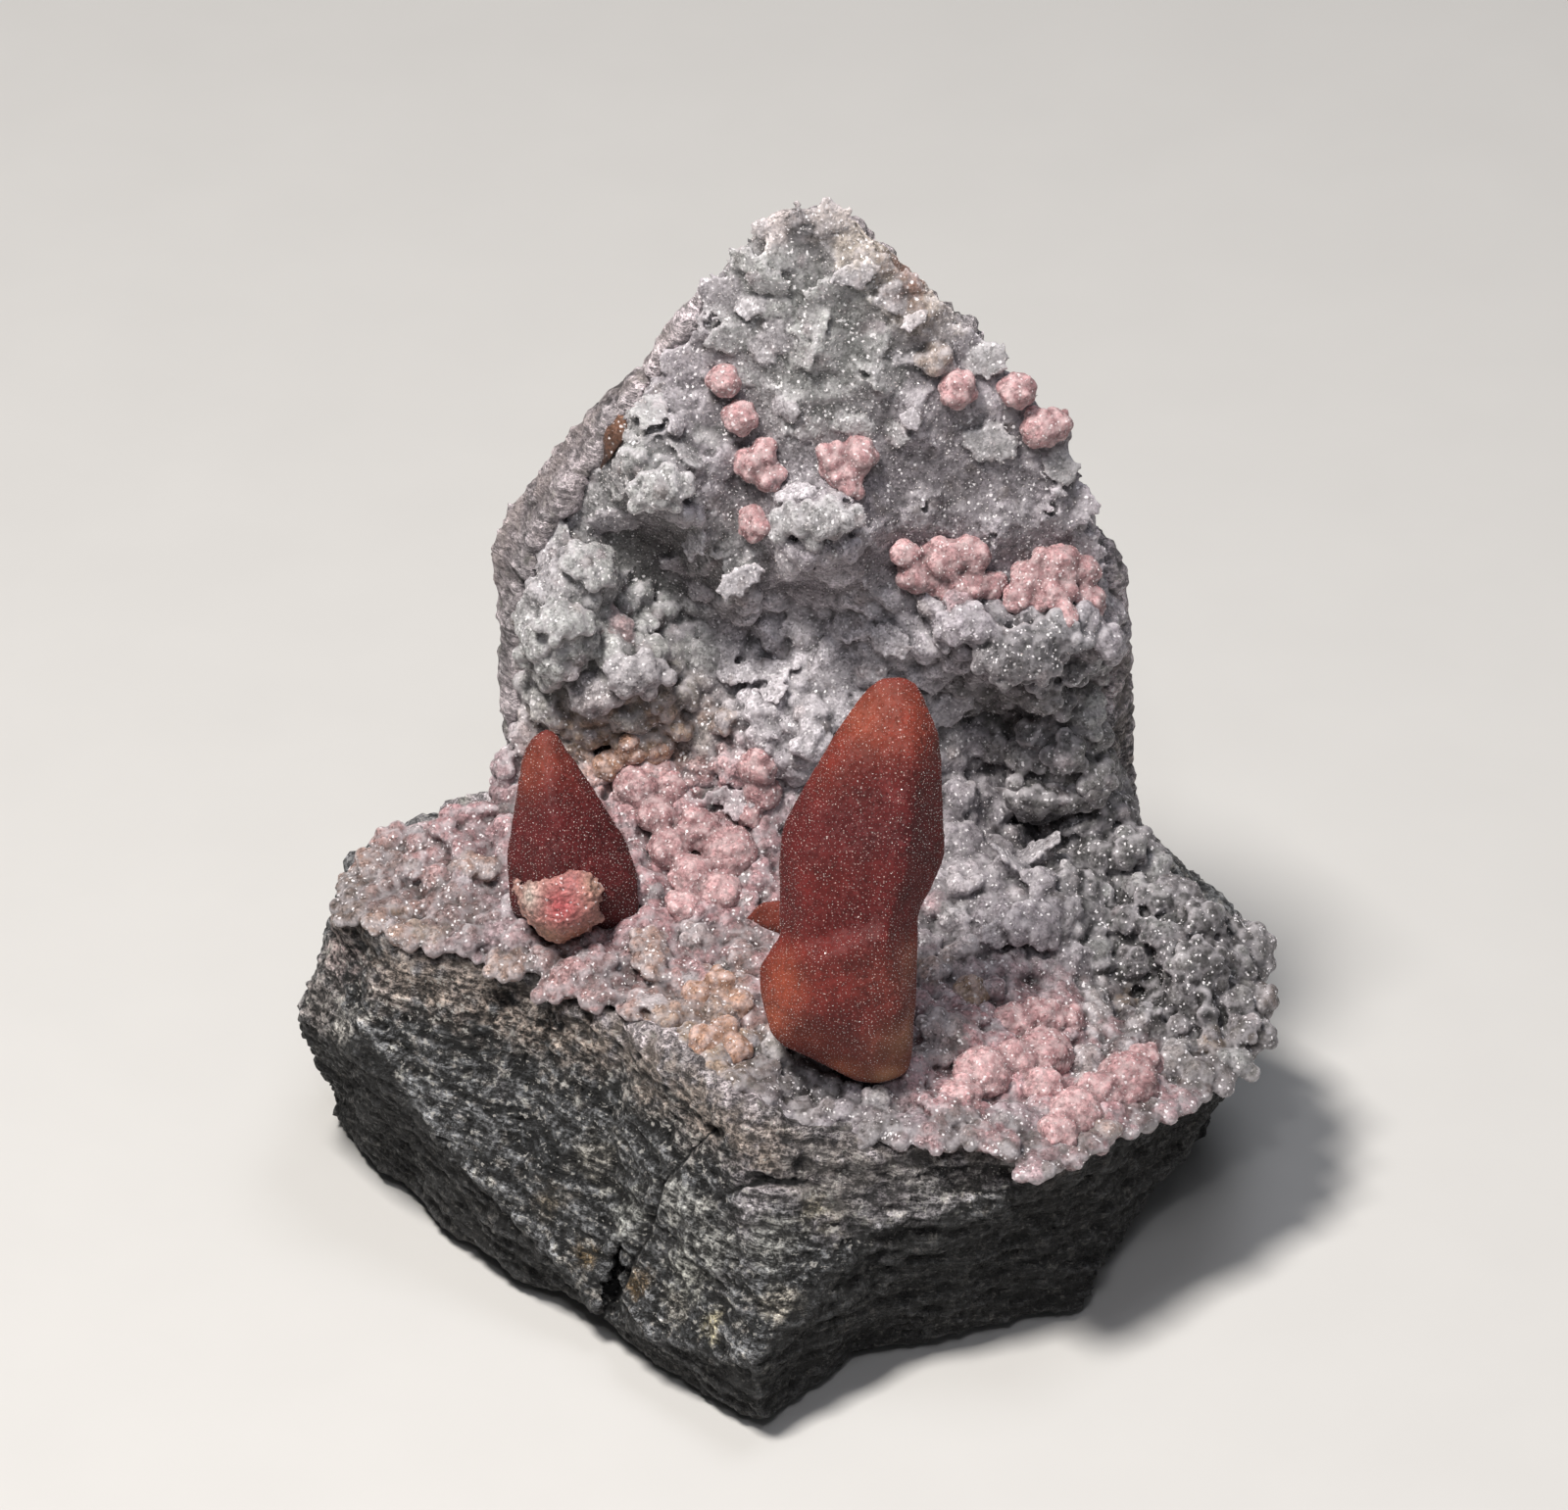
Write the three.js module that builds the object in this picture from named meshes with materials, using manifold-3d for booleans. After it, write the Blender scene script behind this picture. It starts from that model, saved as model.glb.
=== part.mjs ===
// Rhodochrosite on quartz: a hand-size specimen of broken host rock whose open hollow is lined with a
// knobbly quartz crust. Two red rhodochrosite crystals stand in the hollow beside the stub of a
// broken one, and pink rhodochrosite balls sit on the crust in ones and in clusters.
// Millimetres, +Z up, the open hollow looks towards -Y and up. The origin lies on the flat broken
// face underneath, on which the specimen stands.
import * as THREE from "three";
import { mergeVertices } from "three/addons/utils/BufferGeometryUtils.js";
import { ConvexGeometry } from "three/addons/geometries/ConvexGeometry.js";
import Module from "manifold-3d";

const wasm = await Module();
wasm.setup();

// Driving sizes
const HOLLOW_TILT = THREE.MathUtils.degToRad(35); // how far up from level the hollow faces
const CRUST_THICK = 2; // quartz crust over the rock, where it is thinnest
const GAP = 0.3; // clearance between pieces that touch
const SLOPE_GAP = 0.42; // the same measured straight out of the hollow, over sloping crust
const CRUST_CELL = 1.85; // spacing of the crust's front surface
const BED_CELL = 5.5; // spacing of the crust's hidden back
const LUMP_CELL = 4.3; // spacing of the small lumps that cover the crust
const ROCK_EDGE = 7.8; // longest edge on broken rock
const ROUND_FROM = 1.95; // from this radius a ball has more facets
const KEEL_RISE = 1.2; // where the rock turns up from the ground
const FLOOR_RISE = 29; // the rock's level under the hollow, before it is cut to the crust
const FAR_FRONT = 60; // in front of everything, along the way the hollow faces

// The facing frame: across (u), up the hollow (v) and out of it (w)
const FACING = new THREE.Matrix4().makeBasis(
  new THREE.Vector3(1, 0, 0),
  new THREE.Vector3(0, Math.sin(HOLLOW_TILT), Math.cos(HOLLOW_TILT)),
  new THREE.Vector3(0, -Math.cos(HOLLOW_TILT), Math.sin(HOLLOW_TILT)),
);
const TO_FACING = FACING.clone().invert();

// Noise

function hash(x, y, z) {
  let h = (x * 374761393 + y * 668265263 + z * 2147483647) | 0;
  h = Math.imul(h ^ (h >>> 13), 1274126177);
  return ((h ^ (h >>> 16)) >>> 0) / 4294967295;
}

// Smooth value noise from -1 to 1, about one swell to each unit
function noise(x, y, z) {
  const [i, j, k] = [x, y, z].map(Math.floor);
  const [fx, fy, fz] = [x - i, y - j, z - k].map((t) => t * t * (3 - 2 * t));
  const mix = THREE.MathUtils.lerp;
  const row = (b, c) => mix(hash(i, j + b, k + c), hash(i + 1, j + b, k + c), fx);
  return 2 * mix(mix(row(0, 0), row(1, 0), fy), mix(row(0, 1), row(1, 1), fy), fz) - 1;
}

// Solids and geometries

function solid(geometry) {
  const bare = geometry.clone();
  for (const name of Object.keys(bare.attributes)) {
    if (name !== "position") bare.deleteAttribute(name);
  }
  const merged = mergeVertices(bare, 1e-4);
  const mesh = new wasm.Mesh({
    numProp: 3,
    vertProperties: merged.attributes.position.array,
    triVerts: new Uint32Array(merged.index.array),
  });
  return new wasm.Manifold(mesh);
}

function geometryOf(body) {
  const mesh = body.getMesh();
  const geometry = new THREE.BufferGeometry();
  const positions = new Float32Array(mesh.vertProperties);
  geometry.setAttribute("position", new THREE.BufferAttribute(positions, 3));
  geometry.setIndex(new THREE.BufferAttribute(new Uint32Array(mesh.triVerts), 1));
  return geometry;
}

const joined = (bodies) => bodies.reduce((a, b) => a.add(b));
const cutBy = (body, cutters) => cutters.reduce((a, b) => a.subtract(b), body);

// The largest of a body's separate parts: crumbs that a cut leaves loose fall away
function largest(body) {
  return body.decompose().reduce((a, b) => (b.volume() > a.volume() ? b : a));
}

// A closed skin from its points and the three corners of each face
function skin(points, faces) {
  const geometry = new THREE.BufferGeometry().setFromPoints(points);
  geometry.setIndex(faces.flat());
  return geometry;
}

// Halves every edge that is too long, the same way from both of its sides, until none is left
function refined(geometry, longest) {
  const { position } = geometry.attributes;
  const points = Array.from({ length: position.count }, (_, i) => {
    return new THREE.Vector3().fromBufferAttribute(position, i);
  });
  const corners = Array.from(geometry.index.array);
  let faces = [];
  for (let i = 0; i < corners.length; i += 3) faces.push(corners.slice(i, i + 3));
  for (let before = 0; before !== faces.length; ) {
    before = faces.length;
    const middles = new Map();
    const middle = (a, b) => {
      if (points[a].distanceTo(points[b]) <= longest) return -1;
      const key = a < b ? `${a} ${b}` : `${b} ${a}`;
      if (!middles.has(key)) middles.set(key, points.push(points[a].clone().lerp(points[b], 0.5)) - 1);
      return middles.get(key);
    };
    faces = faces.flatMap((face) => {
      const mids = face.map((a, k) => middle(a, face[(k + 1) % 3]));
      const halved = mids.map((m) => m >= 0);
      const count = halved.filter(Boolean).length;
      if (count === 0) return [face];
      const start = count === 1 ? halved.indexOf(true) : (halved.indexOf(false) + 1) % 3;
      const [a, b, c] = [0, 1, 2].map((k) => face[(start + k) % 3]);
      const [ab, bc, ca] = [0, 1, 2].map((k) => mids[(start + k) % 3]);
      if (count === 1) return [[a, ab, c], [ab, b, c]];
      if (count === 2) return [[a, ab, c], [ab, b, bc], [ab, bc, c]];
      return [[a, ab, ca], [ab, b, bc], [ca, bc, c], [ab, bc, ca]];
    });
  }
  return skin(points, faces);
}

// A closed skin over rings of points, all of one length and listed clockwise from above, the bottom
// ring first
function loft(rings) {
  const around = rings[0].length;
  const middleOf = (ring) => {
    const sum = ring.reduce((s, p) => s.add(p), new THREE.Vector3());
    return sum.divideScalar(around);
  };
  const points = rings.flat();
  const bottom = points.push(middleOf(rings[0])) - 1;
  const top = points.push(middleOf(rings.at(-1))) - 1;
  const last = (rings.length - 1) * around;
  const faces = [];
  for (let i = 0; i < around; i += 1) {
    const next = (i + 1) % around;
    faces.push([bottom, i, next], [top, last + next, last + i]);
    for (let r = 0; r < last; r += around) {
      faces.push([r + i, r + around + i, r + next]);
      faces.push([r + next, r + around + i, r + around + next]);
    }
  }
  return skin(points, faces);
}

// Moves a surface in and out like rock broken along its beds, more so at the back. What lies on the
// ground stays flat.
const BED_FINENESS = 1.6;
const GROUND = 0.05;

function roughened(geometry, depth, size) {
  geometry.computeVertexNormals();
  const { position, normal } = geometry.attributes;
  const p = new THREE.Vector3();
  const out = new THREE.Vector3();
  for (let i = 0; i < position.count; i += 1) {
    p.fromBufferAttribute(position, i);
    out.fromBufferAttribute(normal, i);
    if (p.z < GROUND) continue;
    const q = p.clone().divideScalar(size);
    const swell = noise(q.x, q.y, BED_FINENESS * q.z);
    const ledge = noise(2.3 * q.x + 9, 2.3 * q.y, 2.3 * BED_FINENESS * q.z);
    const behind = 1 + 1.4 * THREE.MathUtils.smoothstep(p.y, 17, 26);
    p.addScaledVector(out, depth * behind * (swell + 0.5 * ledge));
    position.setXYZ(i, p.x, p.y, Math.max(p.z, 0.4));
  }
  return geometry;
}

// Host rock
// Its foot, by stations round it. Each gives the edge of the flat face underneath (x, y), the keel
// just above the ground (x, y), the brow where the rock turns from its undercut to its broken front
// (x, y, z) and the lip where the crust begins (x, y, z).

const FOOT_STATIONS = [
  // front corner, then along the left flank
  { sole: [-1.5, -24], keel: [-1.7, -27], brow: [-1.9, -28, 7], lip: [-3, -16, 21] },
  { sole: [-7.5, -18.5], keel: [-7.7, -21], brow: [-6.5, -24, 5.5], lip: [-8, -12, 21] },
  { sole: [-13, -12.5], keel: [-14, -14.5], brow: [-12.5, -18, 3.2], lip: [-12, -5, 22] },
  { sole: [-18, -7], keel: [-19.6, -9], brow: [-18.5, -12, 7.5], lip: [-17, -0.5, 22] },
  { sole: [-23.5, -2.5], keel: [-25.2, -4], brow: [-25.7, -6.5, 12.3], lip: [-23, 1, 22.5] },
  { sole: [-28, 3.5], keel: [-30, 3.5], brow: [-30.5, -2, 15], lip: [-28, 2.5, 23] },
  { sole: [-30.5, 9.5], keel: [-33, 10], brow: [-34.8, 4, 14], lip: [-31.5, 7, 23.5] },
  // round the back
  { sole: [-28, 16], keel: [-30, 17], brow: [-33.5, 12.5, 15], lip: [-30, 12, 24.5] },
  { sole: [-18, 21], keel: [-19, 23], brow: [-23, 20, 15], lip: [-21, 15, 26] },
  { sole: [-5, 24], keel: [-5, 27], brow: [-6, 28, 15], lip: [-6, 24, 28] },
  { sole: [8, 24], keel: [8, 26.5], brow: [8, 28.5, 14], lip: [8, 24, 28] },
  { sole: [20, 20.5], keel: [21, 22.5], brow: [24, 22, 13], lip: [22, 18, 25] },
  { sole: [27, 14], keel: [29.5, 14.5], brow: [33, 13, 12], lip: [31, 11.5, 20.5] },
  // right flank, back to the front corner
  { sole: [27.5, 7], keel: [29.6, 7], brow: [34.8, 4, 12], lip: [33.5, 4.5, 17.5] },
  { sole: [24.5, 1], keel: [26.3, 1.2], brow: [31.8, -2, 13], lip: [30.5, 0, 17.5] },
  { sole: [22.5, -5], keel: [24.2, -6.5], brow: [25.7, -9, 13.8], lip: [24.5, -7, 18] },
  { sole: [19.5, -10.5], keel: [21, -12.7], brow: [19.6, -15.2, 15], lip: [18.5, -13, 18.5] },
  { sole: [12, -14], keel: [12.6, -16.2], brow: [13.5, -18.3, 13], lip: [13, -15, 19] },
  { sole: [5, -17], keel: [4.9, -19], brow: [6.5, -21, 13], lip: [6, -16, 20] },
  { sole: [1.5, -20.5], keel: [1.2, -22.8], brow: [1.8, -24, 9.5], lip: [1, -16, 20.5] },
];

function footBody() {
  const ring = (place) => FOOT_STATIONS.map((station) => new THREE.Vector3(...place(station)));
  const rings = [
    ring(({ sole: [x, y] }) => [x, y, 0]),
    ring(({ keel: [x, y] }) => [x, y, KEEL_RISE]),
    ring(({ brow }) => brow),
    ring(({ lip }) => lip),
    ring(({ lip: [x, y] }) => [0.55 * x, 0.55 * y + 5, FLOOR_RISE]),
  ];
  return solid(roughened(refined(loft(rings), ROCK_EDGE), 0.7, 7));
}

// The wall behind the hollow, by level slices. Each gives its height, then x and y of the front
// middle, front left, left edge, back left, back, back right, right edge and front right.
const WALL_SLICES = [
  { z: 14, at: [[1, 8], [-14, 12], [-19, 17], [-15, 25], [1, 28], [18, 24.5], [26, 16], [20, 11]] },
  { z: 32, at: [[1, 11], [-15.5, 12.5], [-19.5, 15], [-15, 24.5], [1, 28.2], [19, 25], [25.4, 16.8], [21.5, 12]] },
  { z: 45, at: [[1, 11.5], [-16.5, 13.5], [-21.5, 17.7], [-15, 25], [1, 27.2], [17, 25], [24, 17], [21, 13]] },
  { z: 52, at: [[1, 11.5], [-13, 14.5], [-17, 19], [-12, 24], [1, 26], [14, 23.4], [21, 17.3], [18.5, 13.5]] },
  { z: 60, at: [[2, 12], [-8, 15], [-10.5, 19.3], [-7, 23], [2, 24.4], [11, 22.4], [17.2, 17.4], [15, 14]] },
  { z: 67.5, at: [[3, 13.5], [-3.5, 15.5], [-5, 19], [-2.5, 21.6], [3, 22], [8, 20.9], [10.5, 18], [9, 15.5]] },
  { z: 73.6, at: [[2.2, 16], [0.3, 16.6], [-0.5, 18], [0.6, 19.6], [2.3, 20.2], [3.8, 19.8], [4.5, 18.2], [3.8, 16.6]] },
];

function wallBody() {
  const rings = WALL_SLICES.map(({ z, at }) => at.map(([x, y]) => new THREE.Vector3(x, y, z)));
  return solid(roughened(refined(loft(rings), ROCK_EDGE), 0.6, 6));
}

// Cuts in the rock's broken front, each the hollow between the points listed: the crack that runs
// up from the left foot, and the short slot under the ledge beside it
const ROCK_CUTS = [
  [[-13.9, -21, 0.6], [-12.7, -21, 0.6], [-13, -12.5, 6], [-9.9, -11.4, 14.6], [-9.3, -11.6, 14.3], [-10, -7, 10]],
  [[-9.7, -11.7, 14.6], [-9.2, -12, 14], [-6, -8, 18.6], [-4.8, -9.6, 18.9], [-8, -7, 14]],
  [[-4.8, -17, 16.6], [-1.5, -18, 17], [2, -18.4, 16.8], [-4, -16.5, 15.8], [1.5, -18.4, 15.9], [-1, -13.5, 16.2]],
];

// Quartz crust
// Points that its front passes through, in x, y and z: along the lip of the floor, over the floor
// to the foot of the wall, and up the wall.

const SPOTS = [
  [-32, 6.5, 24.3], [-28, 1.5, 23.5], [-17, -2, 22], [-8, -13, 20.8], [-3, -17, 20.5], [6, -18, 19],
  [14, -17, 18.4], [19, -15, 17.8], [25, -9, 17.2], [31.5, -2.5, 16.5], [34.5, 3, 16.5],
  // floor
  [-29, 12, 24], [-22, 12, 27], [-25, 6, 25], [-15, 3, 25], [-8, -2, 22.8], [-2, -8, 21.2],
  [4, -2, 22.2], [5.6, -12, 19.8], [12, -6, 20.4], [20, -4, 19], [28, 4, 18], [31.5, 11, 20],
  [-12, 9, 27.5], [-4, 9, 28], [4, 8, 26], [12, 8, 23.4],
  // foot of the wall
  [-19.3, 13.5, 32], [-14, 13.5, 33], [-5, 13.5, 33], [2, 13, 33], [10, 13, 31], [17.5, 14, 27],
  [24, 15, 28],
  // wall
  [24.5, 15.5, 35], [22.8, 15, 45], [-21, 16.5, 44], [-15, 14.5, 44], [-6, 14, 44], [3, 13, 45],
  [12, 13, 44], [-13, 16.5, 52], [-8, 15, 53], [0, 13.5, 54], [9, 13, 54], [18, 14.5, 53],
  [-7, 18, 62], [-2, 15.5, 62], [4, 14, 62], [14, 16, 62], [0, 16, 69], [6, 15.8, 68],
  [3, 16.6, 73], [-5, 18, 69], [12, 17.4, 68],
].map(([x, y, z]) => new THREE.Vector3(x, y, z).applyMatrix4(TO_FACING));
const SPOT_REACH = 5.5;

// Swells and hollows on top of that: across, up, radius, height
const SWELLS = [
  // ridge over the left recess, the recess, and what bulges in it
  [-9.5, 54.5, 4.5, 2.4], [-7.5, 50.5, 3.5, 2.4], [-4, 46.5, 3, 2], [-10, 45.5, 6.5, -3.6],
  [-5, 41, 5, -3], [-15, 44.5, 4, 2.6], [-16, 41, 3, 2.4], [-11, 38.5, 4, 2.2],
  // middle knob, the dip below it, and the apron at the wall's foot
  [2.6, 48.8, 4.2, 3.4], [1, 43, 4.5, -2.6], [-1, 33.5, 4, 1.6], [9, 34, 4, 1.2],
  // ledge on the right, the recess under it and the deep pocket at its foot
  [13, 42, 3, 2.6], [17.5, 40.5, 4.5, 3.8], [20.5, 41.5, 3, 2.4], [14.5, 34.5, 6, -4.2],
  [18, 27, 4, -4.5], [20, 33, 4.5, 2.4], [18, 30.5, 3, 1.6],
  // plates before the pocket and the right shoulder
  [18, 22.5, 4.5, 2.2], [13, 24, 4, 1.4], [29, 19.5, 5, 2.6], [24.5, 16, 3.5, -3.4], [31.5, 14, 4, 1.6],
  // hollow under the tall crystal's foot
  [3, 8, 4.5, -2.8],
];

// Knobs of the crust: across, up and radius
const KNOBS = [
  // ridge over the left recess
  [-9.6, 55.6, 2.2], [-8.6, 52.6, 2.2], [-6.9, 50.8, 1.9], [-4.4, 48, 1.6], [-3.6, 46.2, 1.5],
  [-12.4, 50.2, 1.6], [-6, 53.4, 1.5],
  // left recess
  [-15.2, 45, 2.6], [-13, 43.2, 1.9], [-16, 41.4, 2.2], [-11.4, 39.4, 2.4], [-13.6, 37, 2],
  [-9, 36.2, 1.8], [-16.4, 37.6, 1.6], [-8.4, 43.6, 1.4], [-5, 42.6, 1.5], [-6.6, 39.6, 1.6],
  // middle knob and the apron under it
  [1, 49.2, 2], [3.4, 49.6, 2.1], [2.6, 47.6, 2.1], [4.6, 48.4, 1.5], [1.4, 34.6, 2.2],
  [-1.2, 35.4, 1.8], [4.2, 36.2, 2], [-4, 38, 1.7], [2, 39.6, 1.7], [5.4, 40.4, 1.5],
  [0.2, 37.6, 1.6], [8.6, 42.4, 1.4],
  // ledge on the right and the recess under it
  [12.6, 42.6, 1.9], [14.4, 41.4, 1.8], [16.8, 40.6, 2.3], [19, 38.6, 2], [20.6, 41.6, 1.9],
  [17.2, 37.6, 1.7], [19.8, 34, 2.4], [17, 33.6, 2], [21.4, 31.6, 2], [18.8, 31, 1.9],
  [14.5, 35.4, 1.6], [11.4, 33.4, 1.8], [12.2, 37.6, 1.7], [13.4, 31.4, 1.7], [21.6, 36.4, 1.5],
  // about the deep pocket
  [13, 28.8, 2], [10.8, 26.4, 1.6], [21.6, 26.6, 2], [24, 25.6, 1.9], [20.8, 24.2, 1.6],
  [13, 23.6, 1.7], [15.6, 23.8, 1.6], [18.4, 22.8, 1.7], [20.4, 20.4, 1.7], [16.6, 20.6, 1.9],
  [21.2, 17.6, 1.4], [13.6, 18.6, 1.5], [12, 12.6, 1.9], [15, 17, 1.4],
  // right shoulder
  [26.4, 21.2, 1.9], [29.2, 20.4, 2.2], [26.2, 18.4, 1.9], [29, 17.6, 2.3], [31.8, 17.8, 2],
  [32.4, 15, 1.8], [29.6, 14, 1.8], [27, 12.2, 1.6], [33, 12.4, 1.5], [24.2, 20.4, 1.4],
  // left arm and the floor's front
  [-26, 24.6, 1.8], [-22.6, 23.2, 1.6], [-29, 22.8, 1.5], [-23.6, 26.4, 1.3], [-20.6, 20.8, 1.4],
  [-9.8, 18.4, 1.5], [-8.4, 16, 1.3], [-12.8, 17.2, 1.5], [-3, 18.6, 1.3], [5.4, 7, 1.4],
  // upper wall
  [-4.4, 63.4, 1.5], [2, 62.4, 1.6], [8.6, 63, 1.5], [0.4, 57.6, 1.5], [9.4, 57, 1.6], [15, 49.6, 1.5],
  [9.6, 50.6, 1.4], [-0.6, 66.4, 1.4], [5, 66.6, 1.5], [18.6, 51.2, 1.4], [6.2, 59.6, 1.4],
];
const OVERHANGING = 2.05; // knobs from this radius stand out as balls of their own
const KNOB_RISE = 0.6;
const KNOB_FLAT = 0.9;

// The crust's outline across and up: the left arm, the wall's left side, its top, its right side,
// the right shoulder, then the front lip from right to left
const CRUST_OUTLINE = [
  [-31.7, 23.4], [-29, 26.6], [-24.5, 28], [-20.4, 29], [-20, 32.5], [-18.9, 34.6], [-18.6, 38.4],
  [-18.4, 44.7], [-16.8, 48.9], [-14, 53.1], [-11.2, 57], [-7, 62.4], [-3.9, 67.6], [-1.4, 70.6], [0.6, 71.5],
  [3.4, 71.2], [6.4, 69.4], [9.8, 66.2], [13.6, 62.4], [17.6, 58.6], [20.6, 53.8], [22.8, 48], [23.6, 41.9],
  [23, 37.7], [23, 33.5], [24.4, 28.8], [27.5, 24.1], [30.5, 21.6], [34.2, 19.2], [35, 13.9], [34, 11],
  [30.1, 8.7], [27.3, 7.4], [24.2, 6], [20.3, 3.8], [17.5, 3.3], [16.4, 4.9], [11.2, 5.6], [7, 5.6],
  [3.5, 6.2], [0, 6.9], [-3.2, 8.3], [-6, 10.4], [-7.7, 12.5], [-11.2, 14.3], [-16.8, 16.7], [-21, 18.1],
  [-25.2, 19.2], [-28, 19.9], [-30.8, 21.6],
].map(([u, v]) => new THREE.Vector2(u, v));

// How far out the crust lies at a place across and up: a plane fitted through the spots near it
function fitted(u, v) {
  const sums = new Array(9).fill(0);
  const right = new THREE.Vector3();
  for (const spot of SPOTS) {
    const [du, dv] = [spot.x - u, spot.y - v];
    const weight = Math.exp(-(du * du + dv * dv) / (2 * SPOT_REACH * SPOT_REACH)) + 1e-6;
    const terms = [1, du, dv];
    for (let k = 0; k < 9; k += 1) sums[k] += weight * terms[k % 3] * terms[Math.floor(k / 3)];
    right.addScaledVector(new THREE.Vector3(...terms), weight * spot.z);
  }
  sums[4] += 0.02;
  sums[8] += 0.02;
  return right.applyMatrix3(new THREE.Matrix3().fromArray(sums).invert()).x;
}

function swelling(u, v) {
  let w = fitted(u, v);
  for (const [cu, cv, radius, height] of SWELLS) {
    const t = Math.hypot(u - cu, v - cv) / radius;
    if (t < 1.6) w += height * Math.exp(-1.6 * t ** 3);
  }
  return w;
}

// The small lumps, one to each square of a loose grid, lower on the upper wall
function lumps(u, v) {
  const [i, j] = [Math.floor(u / LUMP_CELL), Math.floor(v / LUMP_CELL)];
  let near = LUMP_CELL;
  for (let a = i - 1; a <= i + 1; a += 1) {
    for (let b = j - 1; b <= j + 1; b += 1) {
      const cu = (a + 0.25 + 0.5 * hash(a, b, 5)) * LUMP_CELL;
      const cv = (b + 0.25 + 0.5 * hash(a, b, 6)) * LUMP_CELL;
      near = Math.min(near, Math.hypot(u - cu, v - cv));
    }
  }
  const height = THREE.MathUtils.lerp(1.6, 0.6, THREE.MathUtils.smoothstep(v, 44, 56));
  return height * (Math.sqrt(Math.max(0, 1 - (near / (0.7 * LUMP_CELL)) ** 2)) - 0.5);
}

// The crust's front with all its knobs and lumps, each a flattened dome
const domes = KNOBS.map(([u, v, r]) => ({ u, v, r: 1.1 * r, w: swelling(u, v) }));

function relief(u, v) {
  let w = swelling(u, v) + lumps(u, v);
  for (const dome of domes) {
    const inside = dome.r ** 2 - (u - dome.u) ** 2 - (v - dome.v) ** 2;
    if (inside > 0) w = Math.max(w, dome.w + 0.85 * Math.sqrt(inside));
  }
  return w;
}

// The crust's hidden back: its lowest front nearby, less the thickness
function bedding(u, v) {
  const step = 0.35 * BED_CELL;
  const around = [-step, 0, step].flatMap((du) => [-step, 0, step].map((dv) => swelling(u + du, v + dv)));
  return Math.min(...around) - CRUST_THICK;
}

// Everything in front of a surface given by its height over a grid. Its points are shifted about by
// a share of the cell and its squares are halved along their higher diagonal, so that lumps are round.
function inFrontOf(height, cell, shift) {
  const box = new THREE.Box2().setFromPoints(CRUST_OUTLINE).expandByScalar(3);
  const [across, up] = box.getSize(new THREE.Vector2()).divideScalar(cell).ceil().toArray();
  const points = [];
  for (let j = 0; j <= up; j += 1) {
    for (let i = 0; i <= across; i += 1) {
      const inner = i > 0 && j > 0 && i < across && j < up ? shift * cell : 0;
      const u = box.min.x + i * cell + inner * (hash(i, j, 1) - 0.5);
      const v = box.min.y + j * cell + inner * (hash(i, j, 2) - 0.5);
      points.push(new THREE.Vector3(u, v, height(u, v)));
    }
  }
  const far = points.length;
  points.push(...points.map((p) => new THREE.Vector3(p.x, p.y, FAR_FRONT)));
  const at = (i, j) => j * (across + 1) + i;
  const faces = [];
  const quad = (a, b, c, d) => faces.push([a, b, c], [a, c, d]);
  const side = (a, b) => quad(a, b, far + b, far + a);
  for (let j = 0; j < up; j += 1) {
    for (let i = 0; i < across; i += 1) {
      const [a, b, c, d] = [at(i, j), at(i, j + 1), at(i + 1, j + 1), at(i + 1, j)];
      const along = points[a].z + points[c].z > points[b].z + points[d].z;
      if (along) quad(a, b, c, d);
      else quad(b, c, d, a);
      quad(far + a, far + d, far + c, far + b);
    }
  }
  for (let i = 0; i < across; i += 1) {
    side(at(i, 0), at(i + 1, 0));
    side(at(i + 1, up), at(i, up));
  }
  for (let j = 0; j < up; j += 1) {
    side(at(0, j + 1), at(0, j));
    side(at(across, j), at(across, j + 1));
  }
  return solid(skin(points, faces));
}

// A prism over the crust's outline, grown by a margin
function outlinePrism(margin) {
  const grown = CRUST_OUTLINE.map((p, i, all) => {
    const along = all[(i + 1) % all.length].clone().sub(all.at(i - 1)).normalize();
    return new THREE.Vector2(p.x - along.y * margin, p.y + along.x * margin);
  });
  const shape = new THREE.Shape(grown);
  const prism = new THREE.ExtrudeGeometry(shape, { depth: 2 * FAR_FRONT, bevelEnabled: false });
  prism.translate(0, 0, -FAR_FRONT);
  return solid(prism);
}

// A ball flattened towards the rock at a place across and up, its middle so far above the crust
function ball([u, v, radius], rise, flat, grow = 0) {
  const shape = new THREE.IcosahedronGeometry(radius + grow, radius < ROUND_FROM ? 0 : 1);
  const turn = 7 * hash(Math.round(u * 10), Math.round(v * 10), 3);
  shape.rotateX(turn);
  shape.rotateY(2 * turn);
  shape.scale(1, 1, flat);
  shape.translate(u, v, swelling(u, v) + rise);
  return solid(shape);
}

// Crystals
// Each is the flat-faced body between its corners, given across, up and out. A leaning crystal's
// corners are out from a plane through its foot that rises out of the hollow as the crystal does.

function crystal(corners, grow) {
  const points = corners.map((corner) => new THREE.Vector3(...corner));
  const middle = points.reduce((s, p) => s.add(p), new THREE.Vector3()).divideScalar(points.length);
  for (const p of points) p.addScaledVector(p.clone().sub(middle).normalize(), 1.3 * grow);
  return solid(new ConvexGeometry(points));
}

function leaning(foot, lean, corners) {
  return corners.map(([u, v, out]) => [u, v, foot.out + lean * (v - foot.up) + out]);
}

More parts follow.
